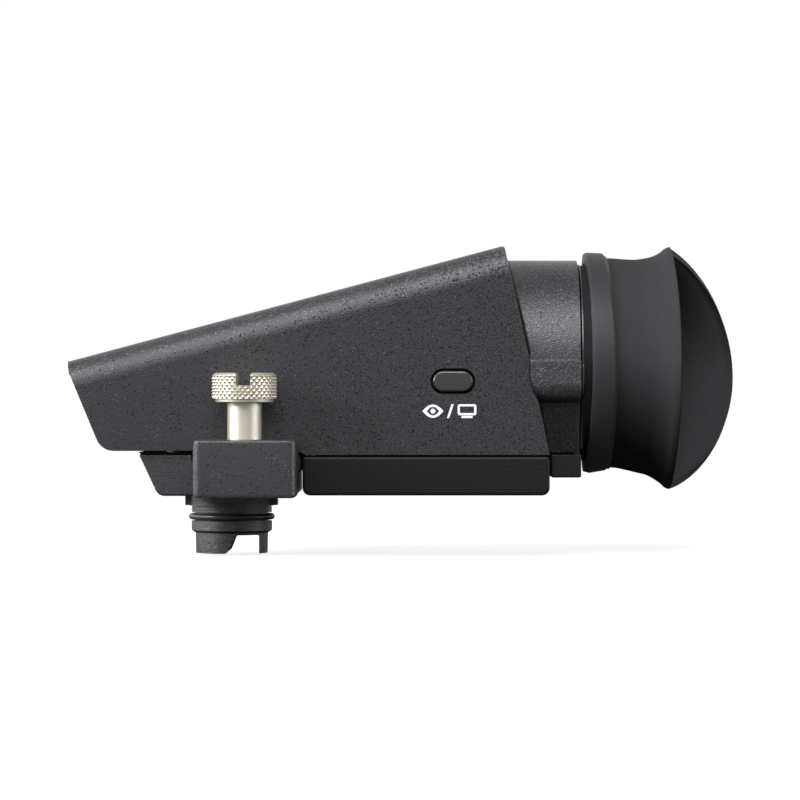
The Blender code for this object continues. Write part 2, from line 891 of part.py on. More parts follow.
def foot_plug_bore():
    """The plug's stepped bore: a shallow seat below, the stem's hole, the nut's room above."""
    seat_radius = plug_key_radius + plug_seat_margin
    stem_radius = plug_stem_radius + fit_gap
    nut_room = nut_radius + fit_gap
    profile = [
        (0, foot_pad_height + overrun), (nut_room, foot_pad_height + overrun),
        (nut_room, nut_bottom - fit_gap), (stem_radius, nut_bottom - fit_gap),
        (stem_radius, plug_seat_recess), (seat_radius, plug_seat_recess),
        (seat_radius, -overrun), (0, -overrun),
    ]
    return turned("foot_plug_bore", profile, large_sides)


def screw_bores():
    """The thumbscrew's hole through the lug, with the chamber of its ring below."""
    x, y = screw_back_offset, -screw_side_offset
    hole = rod("screw_hole", screw_shank_radius + fit_gap, (x, y, -overrun),
               (x, y, lug_height + overrun), middle_sides)
    chamber = rod("screw_chamber", screw_chamber_radius, (x, y, -overrun),
                  (x, y, screw_chamber_top), middle_sides)
    return [hole, chamber]


# The covers


def cover_outline():
    return arc_corners([
        (cover_start, cover_top_height, 0),
        (cover_start, cover_bottom_height, cover_corner_round),
        (cover_end, cover_bottom_height, cover_corner_round),
        (cover_end, cover_top_height, 0),
    ], steps=fine_arc_steps)


def build_bottom_cover():
    """The tray that closes the casing from below, with a post at each screw."""
    cover = prism("bottom_cover", cover_outline(), -cover_half_width, cover_half_width, 'Y',
                  cover_black, cover_edge_round)
    floor = cover_bottom_height + cover_wall
    cut(cover, block("cover_hollow",
                     (cover_start + cover_wall, -cover_half_width + cover_wall, floor),
                     (cover_end - cover_wall, cover_half_width - cover_wall,
                      cover_top_height + overrun)))
    head_room = cover_bottom_height + cover_screw_head_height + 2 * fit_gap
    for index, (x, y) in enumerate(cover_screw_places()):
        join(cover, rod(f"cover_post_{index + 1}", cover_post_radius, (x, y, floor - cover_wall / 2),
                        (x, y, cover_top_height - fit_gap), small_sides))
    cut(cover, *cover_screw_holes("cover"))
    for index, (x, y) in enumerate(cover_screw_places()):
        cut(cover, rod(f"cover_head_room_{index + 1}", cover_screw_head_radius + fit_gap,
                       (x, y, cover_bottom_height - overrun), (x, y, head_room), small_sides))
    return smooth_rounds(cover)


def build_rear_lower_cover():
    """The short cover under the eyepiece, higher than the bottom cover."""
    top = housing_bottom_height - fit_gap
    cover = block("rear_lower_cover",
                  (cover_end + fit_gap, -rear_cover_half_width, rear_cover_bottom_height),
                  (housing_end, rear_cover_half_width, top), cover_black, rear_cover_edge_round)
    for index, (x, y) in enumerate(rear_screw_places()):
        head_room = rear_cover_bottom_height + rear_screw_head_height + 2 * fit_gap
        cut(cover, rod(f"rear_cover_hole_{index + 1}", rear_screw_radius + close_gap,
                       (x, y, rear_cover_bottom_height - overrun), (x, y, top + overrun), small_sides))
        cut(cover, rod(f"rear_head_room_{index + 1}", rear_screw_head_radius + fit_gap,
                       (x, y, rear_cover_bottom_height - overrun), (x, y, head_room), small_sides))
    return smooth_rounds(cover)


# The eyepiece housing


def housing_outline(inset=0.0):
    """The housing's section: round above the cheeks, and a narrower box below them."""
    radius = housing_radius - inset
    cheek = cheek_half_width - inset
    lower = housing_lower_half_width - inset
    bottom = housing_bottom_height + inset
    rounding = arc_corners([
        (0, bottom, 0),
        (lower - housing_lower_lean, bottom, housing_edge_round),
        (lower, cheek_bottom_height + inset, cheek_root_round),
        (cheek, cheek_bottom_height + inset + cheek_draft, cheek_round),
        (cheek, cheek_top_height - inset, cheek_edge_round),
        (radius, cheek_top_height - inset, 0),
    ])
    half = [(point[0], point[1]) for point in rounding[1:]]
    start = math.asin((cheek_top_height - inset - optical_height) / radius)
    steps = middle_sides // 2
    arch = []
    for step in range(steps + 1):
        angle = start + (math.pi - 2 * start) * step / steps
        arch.append((radius * math.cos(angle), optical_height + radius * math.sin(angle)))
    half[-1] = arch[0]
    mirrored = [(-u, v) for u, v in reversed(half[:-1])]
    return half + arch[1:] + mirrored


def bulkhead():
    """The leaning wall that closes the casing's rim round the housing."""
    inset = casing_wall + close_gap
    bottom = housing_bottom_height - close_gap
    top = casing_roof_height
    back_low = rim_x(bottom) - bulkhead_recess
    back_top = rim_x(top) - bulkhead_recess
    outline = [(back_low, bottom), (back_top, top), (back_top - bulkhead_thickness, top),
               (back_low - bulkhead_thickness, bottom)]
    half_width = casing_half_width - inset
    wall = prism("bulkhead", outline, -half_width, half_width, 'Y')
    return trim(wall, roof_prism("bulkhead_roof_bar", inset))


def cheek_clearance(side):
    """What the casing's side wall takes from the housing's front, outside the cavity."""
    inner = housing_radius + close_gap / 2
    low_y, high_y = sorted((side * inner, side * (casing_half_width + overrun)))
    room = block(f"cheek_clearance_{'left' if side < 0 else 'right'}",
                 (housing_front - overrun, low_y, 0), (housing_end + overrun, high_y, casing_roof_height))
    return cut(room, cheek_notch(f"cheek_keep_{'left' if side < 0 else 'right'}", fit_gap))


def build_rear_housing():
    """The eyepiece housing, with its cheeks, its bulkhead and the bore of the lens group."""
    housing = prism("rear_housing", housing_outline(), housing_front, housing_end, 'X',
                    textured_black)
    round_edges(housing, housing_edge_round, limit=60)
    cut(housing, cheek_clearance(-1), cheek_clearance(1))
    tube = rod("housing_tube", bore_radius + housing_tube_wall,
               (housing_tube_front, 0, optical_height),
               (housing_front + overrun, 0, optical_height), large_sides)
    join(housing, bulkhead(), tube)
    cut(housing, rod("lens_bore", bore_radius, (housing_tube_front - overrun, 0, optical_height),
                     (housing_end + overrun, 0, optical_height), large_sides))
    cut(housing, rod("dial_hole", dial_shaft_radius + dial_shaft_gap,
                     (dial_back, carrier_bore_radius, dial_height),
                     (dial_back, cheek_half_width + overrun, dial_height), small_sides))
    for index, (x, y) in enumerate(rear_screw_places()):
        cut(housing, rod(f"housing_screw_hole_{index + 1}", rear_screw_radius + close_gap,
                         (x, y, housing_bottom_height - overrun),
                         (x, y, housing_bottom_height + rear_screw_depth + fit_gap), small_sides))
    return smooth_rounds(housing)


def build_eyepiece_plate():
    """The thin plate on the housing's end, and the neck that holds the window."""
    plate = prism("eyepiece_plate", housing_outline(plate_inset), plate_front, plate_back, 'X',
                  plate_black)
    neck = rod("neck_bar", neck_radius, (plate_front + plate_thickness / 2, 0, optical_height),
               (neck_end, 0, optical_height), large_sides)
    join(plate, neck)
    bore = turned("neck_bore", [
        (0, neck_end + overrun), (neck_bore_radius, neck_end + overrun),
        (neck_bore_radius, window_front - fit_gap), (window_lip_radius, window_front - fit_gap),
        (window_lip_radius, plate_front - overrun), (0, plate_front - overrun),
    ], large_sides, axis='X', at=(0, 0, optical_height))
    cut(plate, bore)
    return smooth_rounds(plate)


def build_window():
    """The flat glass that seals the eyepiece, and the ring that holds it."""
    radius = neck_bore_radius - fit_gap
    window = rod("eyepiece_window", radius, (window_front, 0, optical_height),
                 (window_front + window_thickness, 0, optical_height), large_sides, coated_glass)
    smooth_rounds(window)
    back = window_ring_front + window_ring_length
    ring = turned("window_ring", [
        (radius, back), (radius, window_ring_front),
        (window_ring_opening, window_ring_front), (window_ring_opening, back),
    ], large_sides, inner_black, 'X', (0, 0, optical_height))
    return window, ring


# The eyecup


def collar_shift(angle):
    """The collar leans back at its foot and at its sides, like a saddle."""
    lean = collar_slant * (1 - math.sin(angle)) / 2
    return lean + collar_saddle * math.cos(angle) ** 2


def build_eyecup_collar():
    """The ring that turns on the neck and carries the rubber cup."""
    front = collar_front
    back = collar_front + collar_length
    seat = cup_base_radius + fit_gap
    rear = back + collar_rear_slope
    collar = turned("collar_blank", [
        (collar_radius - collar_edge_round, rear - collar_rear_slope + collar_edge_round),
        (collar_radius, back), (collar_radius, front + collar_edge_round),
        (collar_radius - collar_edge_round, front), (collar_bore_radius, front),
        (collar_bore_radius, front + collar_bore_length), (seat, front + collar_bore_length),
        (seat, rear),
    ], large_sides, axis='X')
    mesh = baked_mesh(collar, "eyecup_collar")
    bpy.data.objects.remove(collar, do_unlink=True)
    mesh.transform(Matrix.Rotation(math.pi / 2, 4, 'Y'))
    for vertex in mesh.vertices:
        vertex.co.x += collar_shift(math.atan2(vertex.co.z, -vertex.co.y))
    item = place("eyecup_collar", mesh, cover_black)
    item.location = (0, 0, optical_height)
    return smooth_rounds(item)


def wing_share(angle):
    """How much of the wing stands at an angle: none on the near half, all at the wing's peak."""
    top, bottom = math.pi / 2, 1.5 * math.pi
    angle = angle % (2 * math.pi)
    if not top < angle < bottom:
        return 0.0
    above = angle < cup_wing_peak_angle
    edge = top if above else bottom
    power = cup_wing_top_power if above else cup_wing_low_power
    away = (angle - cup_wing_peak_angle) / (edge - cup_wing_peak_angle)
    return max(math.cos(away * math.pi / 2), 0.0) ** power


def cup_point(angle, station, top_flare, low_flare):
    """A point of the cup's outer face, at an angle about the optical axis and a station along it."""
    wing = wing_share(angle)
    base = cup_base_front + collar_shift(angle)
    near = max(math.cos(angle), 0.0) ** 2
    rim = cup_rim_reach + cup_rim_near_bulge * near + cup_wing_length * wing
    low = max((1 - math.sin(angle)) / 2, wing)
    flare = top_flare + (low_flare - top_flare) * low
    sag = (cup_rim_bottom_radius - cup_rim_top_radius) / 2
    rim_radius = cup_rim_mean_radius - sag * math.sin(angle) + cup_wing_flare * wing
    radius = cup_base_radius + (rim_radius - cup_base_radius) * flare
    return (base + (rim - base) * station, -radius * math.cos(angle), radius * math.sin(angle))


def build_eyecup():
    """The soft cup: a thin shell that flares to its rim, with a wing on the far side."""
    form = bmesh.new()
    rings = []
    for station, top, low in zip(cup_station_shares, cup_top_flare_shares, cup_low_flare_shares):
        angles = [2 * math.pi * step / cup_sides for step in range(cup_sides)]
        rings.append([form.verts.new(cup_point(angle, station, top, low)) for angle in angles])
    for ring, following in zip(rings, rings[1:]):
        for index in range(cup_sides):
            beside = (index + 1) % cup_sides
            form.faces.new((ring[index], following[index], following[beside], ring[beside]))
    bmesh.ops.recalc_face_normals(form, faces=form.faces)
    mesh = bpy.data.meshes.new("eyecup")
    form.to_mesh(mesh)
    form.free()
    cup = place("eyecup", mesh, soft_rubber)
    cup.location = (0, 0, optical_height)
    wall = cup.modifiers.new("wall", 'SOLIDIFY')
    wall.thickness = cup_wall
    wall.offset = -1
    wall.use_even_offset = True
    round_edges(cup, cup_lip_round, limit=60)
    return smooth_rounds(cup)


# The lens group and its dial


def lens_profile(front_bulge, back_bulge, front, rim):
    """A lens from its back pole, round its rim, to its front pole."""
    profile = []
    steps = fine_arc_steps
    for step in range(steps + 1):
        share = step / steps
        profile.append((lens_radius * share, front + rim + back_bulge * (1 - share ** 2)))
    for step in range(steps, -1, -1):
        share = step / steps
        profile.append((lens_radius * share, front - front_bulge * (1 - share ** 2)))
    return profile


def build_lens_group():
    """The carrier tube with three lenses and the ring that keeps them in."""
    centre = (0, 0, optical_height)
    carrier = turned("lens_carrier", [
        (carrier_radius, carrier_back), (carrier_radius, carrier_front),
        (carrier_bore_radius, carrier_front), (carrier_bore_radius, carrier_back),
    ], large_sides, inner_black, 'X', centre)
    cut(carrier, crank_slot())
    shapes = (("front_lens", -lens_bulge / 2, lens_bulge), ("middle_lens", lens_bulge, lens_bulge / 2),
              ("rear_lens", lens_bulge, lens_bulge))
    pole = carrier_front + first_lens_setback
    for name, front_bulge, back_bulge in shapes:
        rim_front = pole + max(front_bulge, 0)
        turned(name, lens_profile(front_bulge, back_bulge, rim_front, lens_rim_thickness),
               middle_sides, coated_glass, 'X', centre)
        rim_back = rim_front + lens_rim_thickness
        pole = rim_back + back_bulge + fit_gap
    ring_front = rim_back + fit_gap
    ring_back = ring_front + lens_ring_length
    turned("lens_ring", [
        (lens_radius, ring_back), (lens_radius, ring_front),
        (lens_radius - lens_ring_width, ring_front), (lens_radius - lens_ring_width, ring_back),
    ], middle_sides, inner_black, 'X', centre)


def crank_slot():
    """The upright slot in the carrier's wall that the dial's crank pin drives."""
    drop = crank_radius * (1 - math.cos(dial_turn))
    half = dial_pin_radius + crank_gap
    pin_height = dial_height + crank_radius
    return block("crank_slot", (dial_back - half, carrier_bore_radius / 2, pin_height - drop - half),
                 (dial_back + half, carrier_radius + overrun, pin_height + half))


def build_dioptre_dial():
    """The dial on the far cheek: a slotted cap, its shaft, and the crank pin at its inner end."""
    pin_height = crank_radius
    bore_half_chord = math.sqrt(bore_radius ** 2 - (dial_height - optical_height) ** 2)
    shaft_end = bore_half_chord + fit_gap
    high = dial_height + crank_radius - optical_height
    pin_end = math.sqrt(lens_radius ** 2 - high ** 2) + 2 * fit_gap
    top = dial_side + dial_thickness
    dial = turned("dioptre_dial", [
        (0, top), (dial_radius - dial_edge_round, top), (dial_radius, top - dial_edge_round),
        (dial_radius, dial_side), (dial_shaft_radius, dial_side), (dial_shaft_radius, shaft_end),
        (0, shaft_end),
    ], middle_sides, cover_black, 'Y', (dial_back, 0, dial_height))
    pin = rod("crank_pin", dial_pin_radius, (dial_back, pin_end, dial_height + pin_height),
              (dial_back, shaft_end + overrun, dial_height + pin_height), small_sides)
    slot = block("dial_slot",
                 (dial_back - dial_slot_width / 2, top - dial_slot_depth, dial_height - dial_radius),
                 (dial_back + dial_slot_width / 2, top + overrun, dial_height + dial_radius))
    join(dial, pin)
    return cut(dial, slot)


# The display and the boards


def build_display():
    """The display panel in its holder, with the driver board in front of it."""
    window_y = display_half_width - display_border
    window_z = display_half_height - display_border
    half_y = display_half_width + fit_gap + holder_wall
    half_z = display_half_height + fit_gap + holder_wall
    holder = block("display_holder", (holder_front, -half_y, optical_height - half_z),
                   (holder_back, half_y, optical_height + half_z), inner_black)
    flange_y = half_y + holder_flange_width
    flange = block("holder_flange",
                   (holder_back - holder_flange_thickness, -flange_y,
                    optical_height - holder_flange_half_height),
                   (holder_back, flange_y, optical_height + holder_flange_half_height))
    seat_depth = display_thickness + holder_shelf_depth
    seat = block("display_seat",
                 (holder_front - overrun, -display_half_width - fit_gap,
                  optical_height - display_half_height - fit_gap),
                 (holder_front + seat_depth, display_half_width + fit_gap,
                  optical_height + display_half_height + fit_gap))
    tunnel = block("display_tunnel",
                   (holder_front - overrun, -window_y, optical_height - window_z),
                   (holder_back + overrun, window_y, optical_height + window_z))
    join(holder, flange)
    cut(holder, seat, tunnel)
    panel_back = holder_front + seat_depth - fit_gap
    block("display_panel",
          (panel_back - display_thickness, -display_half_width, optical_height - display_half_height),
          (panel_back, display_half_width, optical_height + display_half_height), panel_glass)
    board_back_x = holder_front - fit_gap
    reach_y = half_y - driver_board_margin
    reach_z = half_z - driver_board_margin
    block("display_board",
          (board_back_x - driver_board_thickness, -reach_y, optical_height - reach_z),
          (board_back_x, reach_y, optical_height + reach_z), board_green)
    return board_back_x - driver_board_thickness, optical_height - reach_z


def build_ribbon(board_x, board_foot):
    """The ribbon that runs from the main board's socket to the foot of the display board."""
    start = (board_back + fit_gap, board_height + socket_thickness / 2)
    end = (board_x - fit_gap - ribbon_thickness, board_foot + ribbon_drop)
    run = end[0] - start[0]
    rise = end[1] - start[1]
    low = min(start[1], end[1]) - ribbon_drop
    lead = 1 + ribbon_rise_share
    path = []
    steps = 4 * fine_arc_steps
    for step in range(steps + 1):
        share = step / steps
        x = start[0] + run * min(lead * share, 1)
        dip = math.sin(math.pi * share) * run / 2 * ribbon_sag_share
        z = start[1] + rise * max(lead * share - ribbon_rise_share, 0) ** 2
        path.append((x, max(z - dip, low)))
    form = bmesh.new()
    edges = []
    verts = [form.verts.new((x, -ribbon_half_width, z)) for x, z in path]
    for vert, following in zip(verts, verts[1:]):
        edges.append(form.edges.new((vert, following)))
    swept = bmesh.ops.extrude_edge_only(form, edges=edges)
    moved = [item for item in swept["geom"] if isinstance(item, bmesh.types.BMVert)]
    bmesh.ops.translate(form, verts=moved, vec=(0, 2 * ribbon_half_width, 0))
    mesh = bpy.data.meshes.new("display_ribbon")
    form.to_mesh(mesh)
    form.free()
    ribbon = place("display_ribbon", mesh, ribbon_amber)
    wall = ribbon.modifiers.new("thickness", 'SOLIDIFY')
    wall.thickness = ribbon_thickness
    wall.offset = 0
    return ribbon


def build_main_board():
    """The board on the casing's floor, its processor and the ribbon's socket."""
    block("main_board", (board_front, -board_half_width, board_underside),
          (board_back, board_half_width, board_height), board_green)
    middle = (board_front + board_back) / 2
    bottom = board_height + fit_gap
    block("video_processor", (middle - chip_size / 2, -chip_size / 2, bottom),
          (middle + chip_size / 2, chip_size / 2, bottom + chip_thickness), chip_black)
    back = board_back - fit_gap
    block("ribbon_socket", (back - socket_length, -ribbon_half_width - fit_gap, bottom),
          (back, ribbon_half_width + fit_gap, bottom + socket_thickness), chip_black)


# The button


def build_button():
    """The press button, its switch and the small board that carries the switch."""
    cap = prism("button_cap", stadium(button_back, button_height, button_length, button_width),
                -button_face, -button_flange_back, 'Y', cover_black)
    round_edges(cap, button_edge_round, limit=60)
    flange = prism("button_flange",
                   stadium(button_back, button_height, button_length + 2 * button_flange,
                           button_width + 2 * button_flange),
                   -button_flange_face, -button_flange_back, 'Y')
    join(cap, flange)
    centre = (button_back, -button_face, button_height)
    centre_on(smooth_rounds(cap), centre)
    plunger = rod("switch_plunger", switch_plunger_radius,
                  (centre[0], -button_flange_back + close_gap, centre[2]),
                  (centre[0], -switch_face + switch_thickness / 2 - button_travel, centre[2]),
                  small_sides, cover_black)
    centre_on(plunger, centre)
    switch = block("button_switch",
                   (centre[0] - switch_size / 2, -switch_face, centre[2] - switch_size / 2),
                   (centre[0] + switch_size / 2, -switch_back, centre[2] + switch_size / 2), chip_black)
    cut(switch, rod("switch_well", switch_plunger_radius + close_gap,
                    (centre[0], -switch_face - overrun, centre[2]),
                    (centre[0], -switch_back - switch_thickness / 4, centre[2]), small_sides))
    half_height = button_width / 2 + button_flange + fit_gap + 2 * switch_post_radius
    block("switch_board",
          (centre[0] - switch_board_length / 2, -switch_board_face, centre[2] - half_height),
          (centre[0] + switch_board_length / 2, -switch_board_face + switch_board_thickness,
           centre[2] + half_height), board_green)


# The thumbscrew


def thread_profile(top, bottom):
    """Ridges and roots of the screw's thread, from top to bottom."""
    profile = []
    pitch = min(screw_thread_pitch, (top - bottom) / (screw_thread_turns + 1))
    for turn in range(screw_thread_turns):
        crest = bottom + (screw_thread_turns - turn) * pitch
        profile.append((screw_thread_radius, crest))
        profile.append((screw_thread_radius - screw_thread_depth, crest - pitch / 2))
    return profile


def build_thumbscrew():
    """The captive screw: a slotted head, a thick shank, a neck for its ring and a threaded tip."""
    top = screw_head_bottom + screw_head_height
    collar_top = screw_head_bottom + screw_head_collar
    collar_radius_low = screw_head_radius - screw_head_collar_step - screw_head_collar
    neck_top = screw_ring_top + close_gap
    neck_bottom = screw_ring_bottom - close_gap
    stop_bottom = neck_bottom - screw_ring_thickness
    profile = [(0, top)]
    for step in range(fine_arc_steps + 1):
        angle = math.pi / 2 * (1 - step / fine_arc_steps)
        profile.append((screw_head_radius - screw_head_round * (1 - math.cos(angle)),
                        top - screw_head_round * (1 - math.sin(angle))))
    profile += [
        (screw_head_radius, collar_top + screw_head_collar_step),
        (screw_head_radius - screw_head_collar_step, collar_top),
        (collar_radius_low, screw_head_bottom),
        (screw_shank_radius, screw_head_bottom), (screw_shank_radius, neck_top),
        (screw_neck_radius, neck_top), (screw_neck_radius, neck_bottom),
        (screw_shank_radius, neck_bottom), (screw_shank_radius, stop_bottom),
        (screw_thread_radius, stop_bottom),
    ]
    profile += thread_profile(stop_bottom, screw_tip_height)
    tip_radius = screw_thread_radius - screw_thread_depth
    profile += [(tip_radius, screw_tip_height), (0, screw_tip_height)]
    place_x, place_y = screw_back_offset, -screw_side_offset
    screw = turned("thumbscrew", profile, middle_sides, warm_nickel, at=(place_x, place_y, 0))
    slot = block("screw_slot",
                 (place_x - screw_slot_width / 2, place_y - screw_head_radius - overrun,
                  top - screw_slot_depth),
                 (place_x + screw_slot_width / 2, place_y + screw_head_radius + overrun,
                  top + overrun))
    return cut(screw, slot)


def build_screw_ring():
    """The open ring in the screw's neck that keeps the screw in the lug."""
    bore = screw_neck_radius + fit_gap
    place_x, place_y = screw_back_offset, -screw_side_offset
    ring = turned("screw_ring", [
        (screw_ring_radius, screw_ring_top), (screw_ring_radius, screw_ring_bottom),
        (bore, screw_ring_bottom), (bore, screw_ring_top),
    ], middle_sides, spring_steel, at=(place_x, place_y, 0))
    mouth = block("ring_mouth",
                  (place_x, place_y - screw_ring_mouth / 2, screw_ring_bottom - overrun),
                  (place_x + screw_ring_radius + overrun, place_y + screw_ring_mouth / 2,
                   screw_ring_top + overrun))
    return cut(ring, mouth)


# The connector plug


def build_plug():
    """The plug that enters the camera: keyed collar, seal groove and a half-open skirt."""
    tip_radius = plug_skirt_radius - plug_skirt_draft
    plug = turned("plug_barrel", [
        (plug_stem_radius, plug_stem_top), (plug_stem_radius, plug_collar_top),
        (plug_collar_radius, plug_collar_top), (plug_collar_radius, -plug_collar_drop),
        (plug_land_radius - plug_groove_line, -plug_collar_drop),
        (plug_land_radius - plug_groove_line, -plug_collar_drop - plug_groove_line),
        (plug_land_radius, -plug_collar_drop - plug_groove_line),
        (plug_land_radius, -plug_land_drop), (plug_ring_groove_radius, -plug_land_drop),
        (plug_ring_groove_radius, -plug_ring_groove_drop),
        (plug_lower_land_radius, -plug_ring_groove_drop),
        (plug_lower_land_radius, -plug_lower_land_drop), (plug_skirt_radius, -plug_skirt_start),
        (tip_radius, -plug_skirt_drop), (plug_bore_radius, -plug_skirt_drop),
        (plug_bore_radius, plug_stem_top),
    ], large_sides, cover_black)
    for side, name in ((1, "plug_key_back"), (-1, "plug_key_front")):
        low_x, high_x = sorted((side * plug_stem_radius, side * plug_key_radius))
        join(plug, block(name, (low_x, -plug_key_half_width, -plug_key_drop),
                         (high_x, plug_key_half_width, plug_collar_top - close_gap)))
    cut(plug, plug_window())
    return smooth_rounds(plug)


def plug_window():
    """The window cut across the skirt, with its slanting front edge."""
    foot = -plug_skirt_drop
    outline = arc_corners([
        (plug_window_back, foot - overrun, 0),
        (plug_window_back, -plug_window_top, fit_gap),
        (plug_window_front, -plug_window_top, plug_window_round),
        (plug_window_foot, foot, plug_window_round),
        (plug_window_foot - plug_window_round, foot, 0),
        (plug_window_foot - plug_window_round, foot - overrun, 0),
    ])
    return prism("plug_window", outline, -plug_key_radius, plug_key_radius, 'Y')


def build_seal_ring():
    """The O-ring in the plug's groove."""
    centre_radius = ring_outer_radius - ring_section_radius
    height = -(plug_land_drop + plug_ring_groove_drop) / 2
    bpy.ops.mesh.primitive_torus_add(major_radius=centre_radius, minor_radius=ring_section_radius,
                                     major_segments=large_sides, minor_segments=pin_sides,
                                     location=(0, 0, height))
    ring = bpy.context.active_object
    ring.name = "plug_seal_ring"
    ring.data.name = "plug_seal_ring"
    for collection in list(ring.users_collection):
        collection.objects.unlink(ring)
    parts.objects.link(ring)
    ring.data.materials.append(seal_rubber)
    ring.data.shade_smooth()
    return ring


def build_plug_nut():
    """The ring nut that clamps the plug in the foot."""
    bore = plug_stem_radius + close_gap
    nut = turned("plug_nut", [
        (nut_radius, plug_stem_top), (nut_radius, nut_bottom), (bore, nut_bottom),
        (bore, plug_stem_top),
    ], large_sides, black_steel)
    for index in range(2):
        turn = math.pi / 2 * index
        slot = block(f"nut_slot_{index + 1}",
                     (-nut_radius - overrun, -plug_key_half_width / 2, plug_stem_top - nut_thickness / 3),
                     (nut_radius + overrun, plug_key_half_width / 2, plug_stem_top + overrun))
        slot.rotation_euler = (0, 0, turn)
        cut(nut, slot)
    return nut


def pin_places():
    reach = (pins_in_row - 1) / 2
    return [((index - reach) * pin_pitch, row * pin_row_offset) for row in (-1, 1)
            for index in range(pins_in_row)]


def build_contacts():
    """The insulating insert in the plug's bore and its two rows of contact pins."""
    top = plug_stem_top - fit_gap
    insert = rod("contact_insert", plug_bore_radius - fit_gap, (0, 0, -insert_face_drop),
                 (0, 0, top), middle_sides, chip_black)
    blank = rod("pin_blank", pin_radius, (0, 0, -insert_face_drop - pin_stand_out), (0, 0, top),
                pin_sides)
    mesh = baked_mesh(blank, "contact_pin")
    bpy.data.objects.remove(blank, do_unlink=True)
    for index, (x, y) in enumerate(pin_places()):
        cut(insert, rod(f"pin_hole_{index + 1}", pin_radius + close_gap,
                        (x, y, -insert_face_drop - overrun), (x, y, top + overrun), pin_sides))
        pin = place(f"contact_pin_{index + 1}", mesh, gold_contact)
        pin.location = (x, y, 0)
    return smooth_rounds(insert)


def build_harness():
    """The short bundle of wires from the plug's insert up to the main board."""
    curve = bpy.data.curves.new("plug_harness", 'CURVE')
    curve.dimensions = '3D'
    curve.bevel_depth = harness_radius
    curve.bevel_resolution = 2
    curve.use_fill_caps = True
    spline = curve.splines.new('POLY')
    heights = (plug_stem_top + fit_gap, (plug_stem_top + board_underside) / 2, board_underside - fit_gap)
    spline.points.add(len(heights) - 1)
    for point, height in zip(spline.points, heights):
        point.co = (0, 0, height, 1)
    harness = bpy.data.objects.new("plug_harness", curve)
    parts.objects.link(harness)
    curve.materials.append(seal_rubber)
    return harness


# The screws


def screw_mesh(name, head_radius, head_height, shank_radius, length):
    """A screw whose head's underside is at the origin, pointing down, with a six-sided recess."""
    blank = turned(f"{name}_blank", [
        (0, head_height), (head_radius, head_height), (head_radius, 0), (shank_radius, 0),
        (shank_radius, -length), (0, -length),
    ], small_sides)
    recess = rod(f"{name}_recess", head_radius * screw_recess_share,
                 (0, 0, head_height * (1 - screw_recess_depth_share)), (0, 0, head_height + overrun), 6)
    cut(blank, recess)
    mesh = baked_mesh(blank, name)
    for spare in (blank, recess):
        bpy.data.objects.remove(spare, do_unlink=True)
    return mesh


def build_screws():
    cover_length = casing_joint_height + cover_screw_reach - cover_bottom_height
    cover_length -= cover_screw_head_height + fit_gap
    mesh = screw_mesh("cover_screw", cover_screw_head_radius, cover_screw_head_height,
                      cover_screw_radius, cover_length)
    for index, (x, y) in enumerate(cover_screw_places()):
        screw = place(f"cover_screw_{index + 1}", mesh, black_steel)
        screw.location = (x, y, cover_bottom_height + cover_screw_head_height + fit_gap)
        screw.rotation_euler = (math.pi, 0, 0)
    foot_length = cavity_floor_height + fit_gap - foot_screw_tip_height
    mesh = screw_mesh("foot_screw", foot_screw_head_radius, foot_screw_head_height,
                      foot_screw_radius, foot_length)
    for index, (x, y) in enumerate(foot_screw_places()):
        screw = place(f"foot_screw_{index + 1}", mesh, spring_steel)
        screw.location = (x, y, cavity_floor_height + fit_gap)
    rear_length = housing_bottom_height + rear_screw_depth - rear_cover_bottom_height
    rear_length -= rear_screw_head_height + fit_gap
    mesh = screw_mesh("rear_screw", rear_screw_head_radius, rear_screw_head_height,
                      rear_screw_radius, rear_length)
    for index, (x, y) in enumerate(rear_screw_places()):
        screw = place(f"rear_screw_{index + 1}", mesh, black_steel)
        screw.location = (x, y, rear_cover_bottom_height + rear_screw_head_height + fit_gap)
        screw.rotation_euler = (math.pi, 0, 0)


build_upper_casing()
build_mount_foot()
build_bottom_cover()
build_rear_lower_cover()
build_rear_housing()
build_eyepiece_plate()
build_window()
build_eyecup_collar()
build_eyecup()
build_lens_group()
build_dioptre_dial()
build_ribbon(*build_display())
build_main_board()
build_button()
build_thumbscrew()
build_screw_ring()
build_plug()
build_seal_ring()
build_plug_nut()
build_contacts()
build_harness()
build_screws()
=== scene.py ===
"""Looks of the electronic viewfinder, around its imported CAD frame.

The origin lies on the plug's axis in the seat's plane, +X points back to the eyepiece,
+Z up, and the side with the button faces -Y. All sizes are in metres.
"""

import json
import math

import bmesh
import bpy
from mathutils import Matrix, Vector


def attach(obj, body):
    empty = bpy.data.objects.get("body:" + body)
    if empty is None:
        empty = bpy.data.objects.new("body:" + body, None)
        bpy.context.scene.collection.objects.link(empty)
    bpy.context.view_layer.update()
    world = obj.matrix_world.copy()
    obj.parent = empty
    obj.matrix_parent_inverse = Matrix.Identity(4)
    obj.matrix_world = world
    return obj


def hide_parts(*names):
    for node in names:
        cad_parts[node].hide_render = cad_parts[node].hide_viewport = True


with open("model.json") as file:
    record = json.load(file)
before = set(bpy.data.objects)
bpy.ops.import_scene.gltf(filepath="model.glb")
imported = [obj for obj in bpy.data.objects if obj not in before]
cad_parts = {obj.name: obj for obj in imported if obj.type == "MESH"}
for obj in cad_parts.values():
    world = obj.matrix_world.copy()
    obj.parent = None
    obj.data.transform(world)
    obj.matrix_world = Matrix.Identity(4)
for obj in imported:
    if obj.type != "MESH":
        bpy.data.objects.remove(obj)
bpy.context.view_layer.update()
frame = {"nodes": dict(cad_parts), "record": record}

# Sizes that the pieces share with the CAD part
fit_gap = 0.0003
close_gap = 0.00015
overrun = 0.002
weld_distance = 0.00001
optical_height = 0.0261
casing_half_width = 0.0218
casing_wall = 0.0012
casing_tip_reach = 0.0312
casing_tip_below_housing = 0.02037
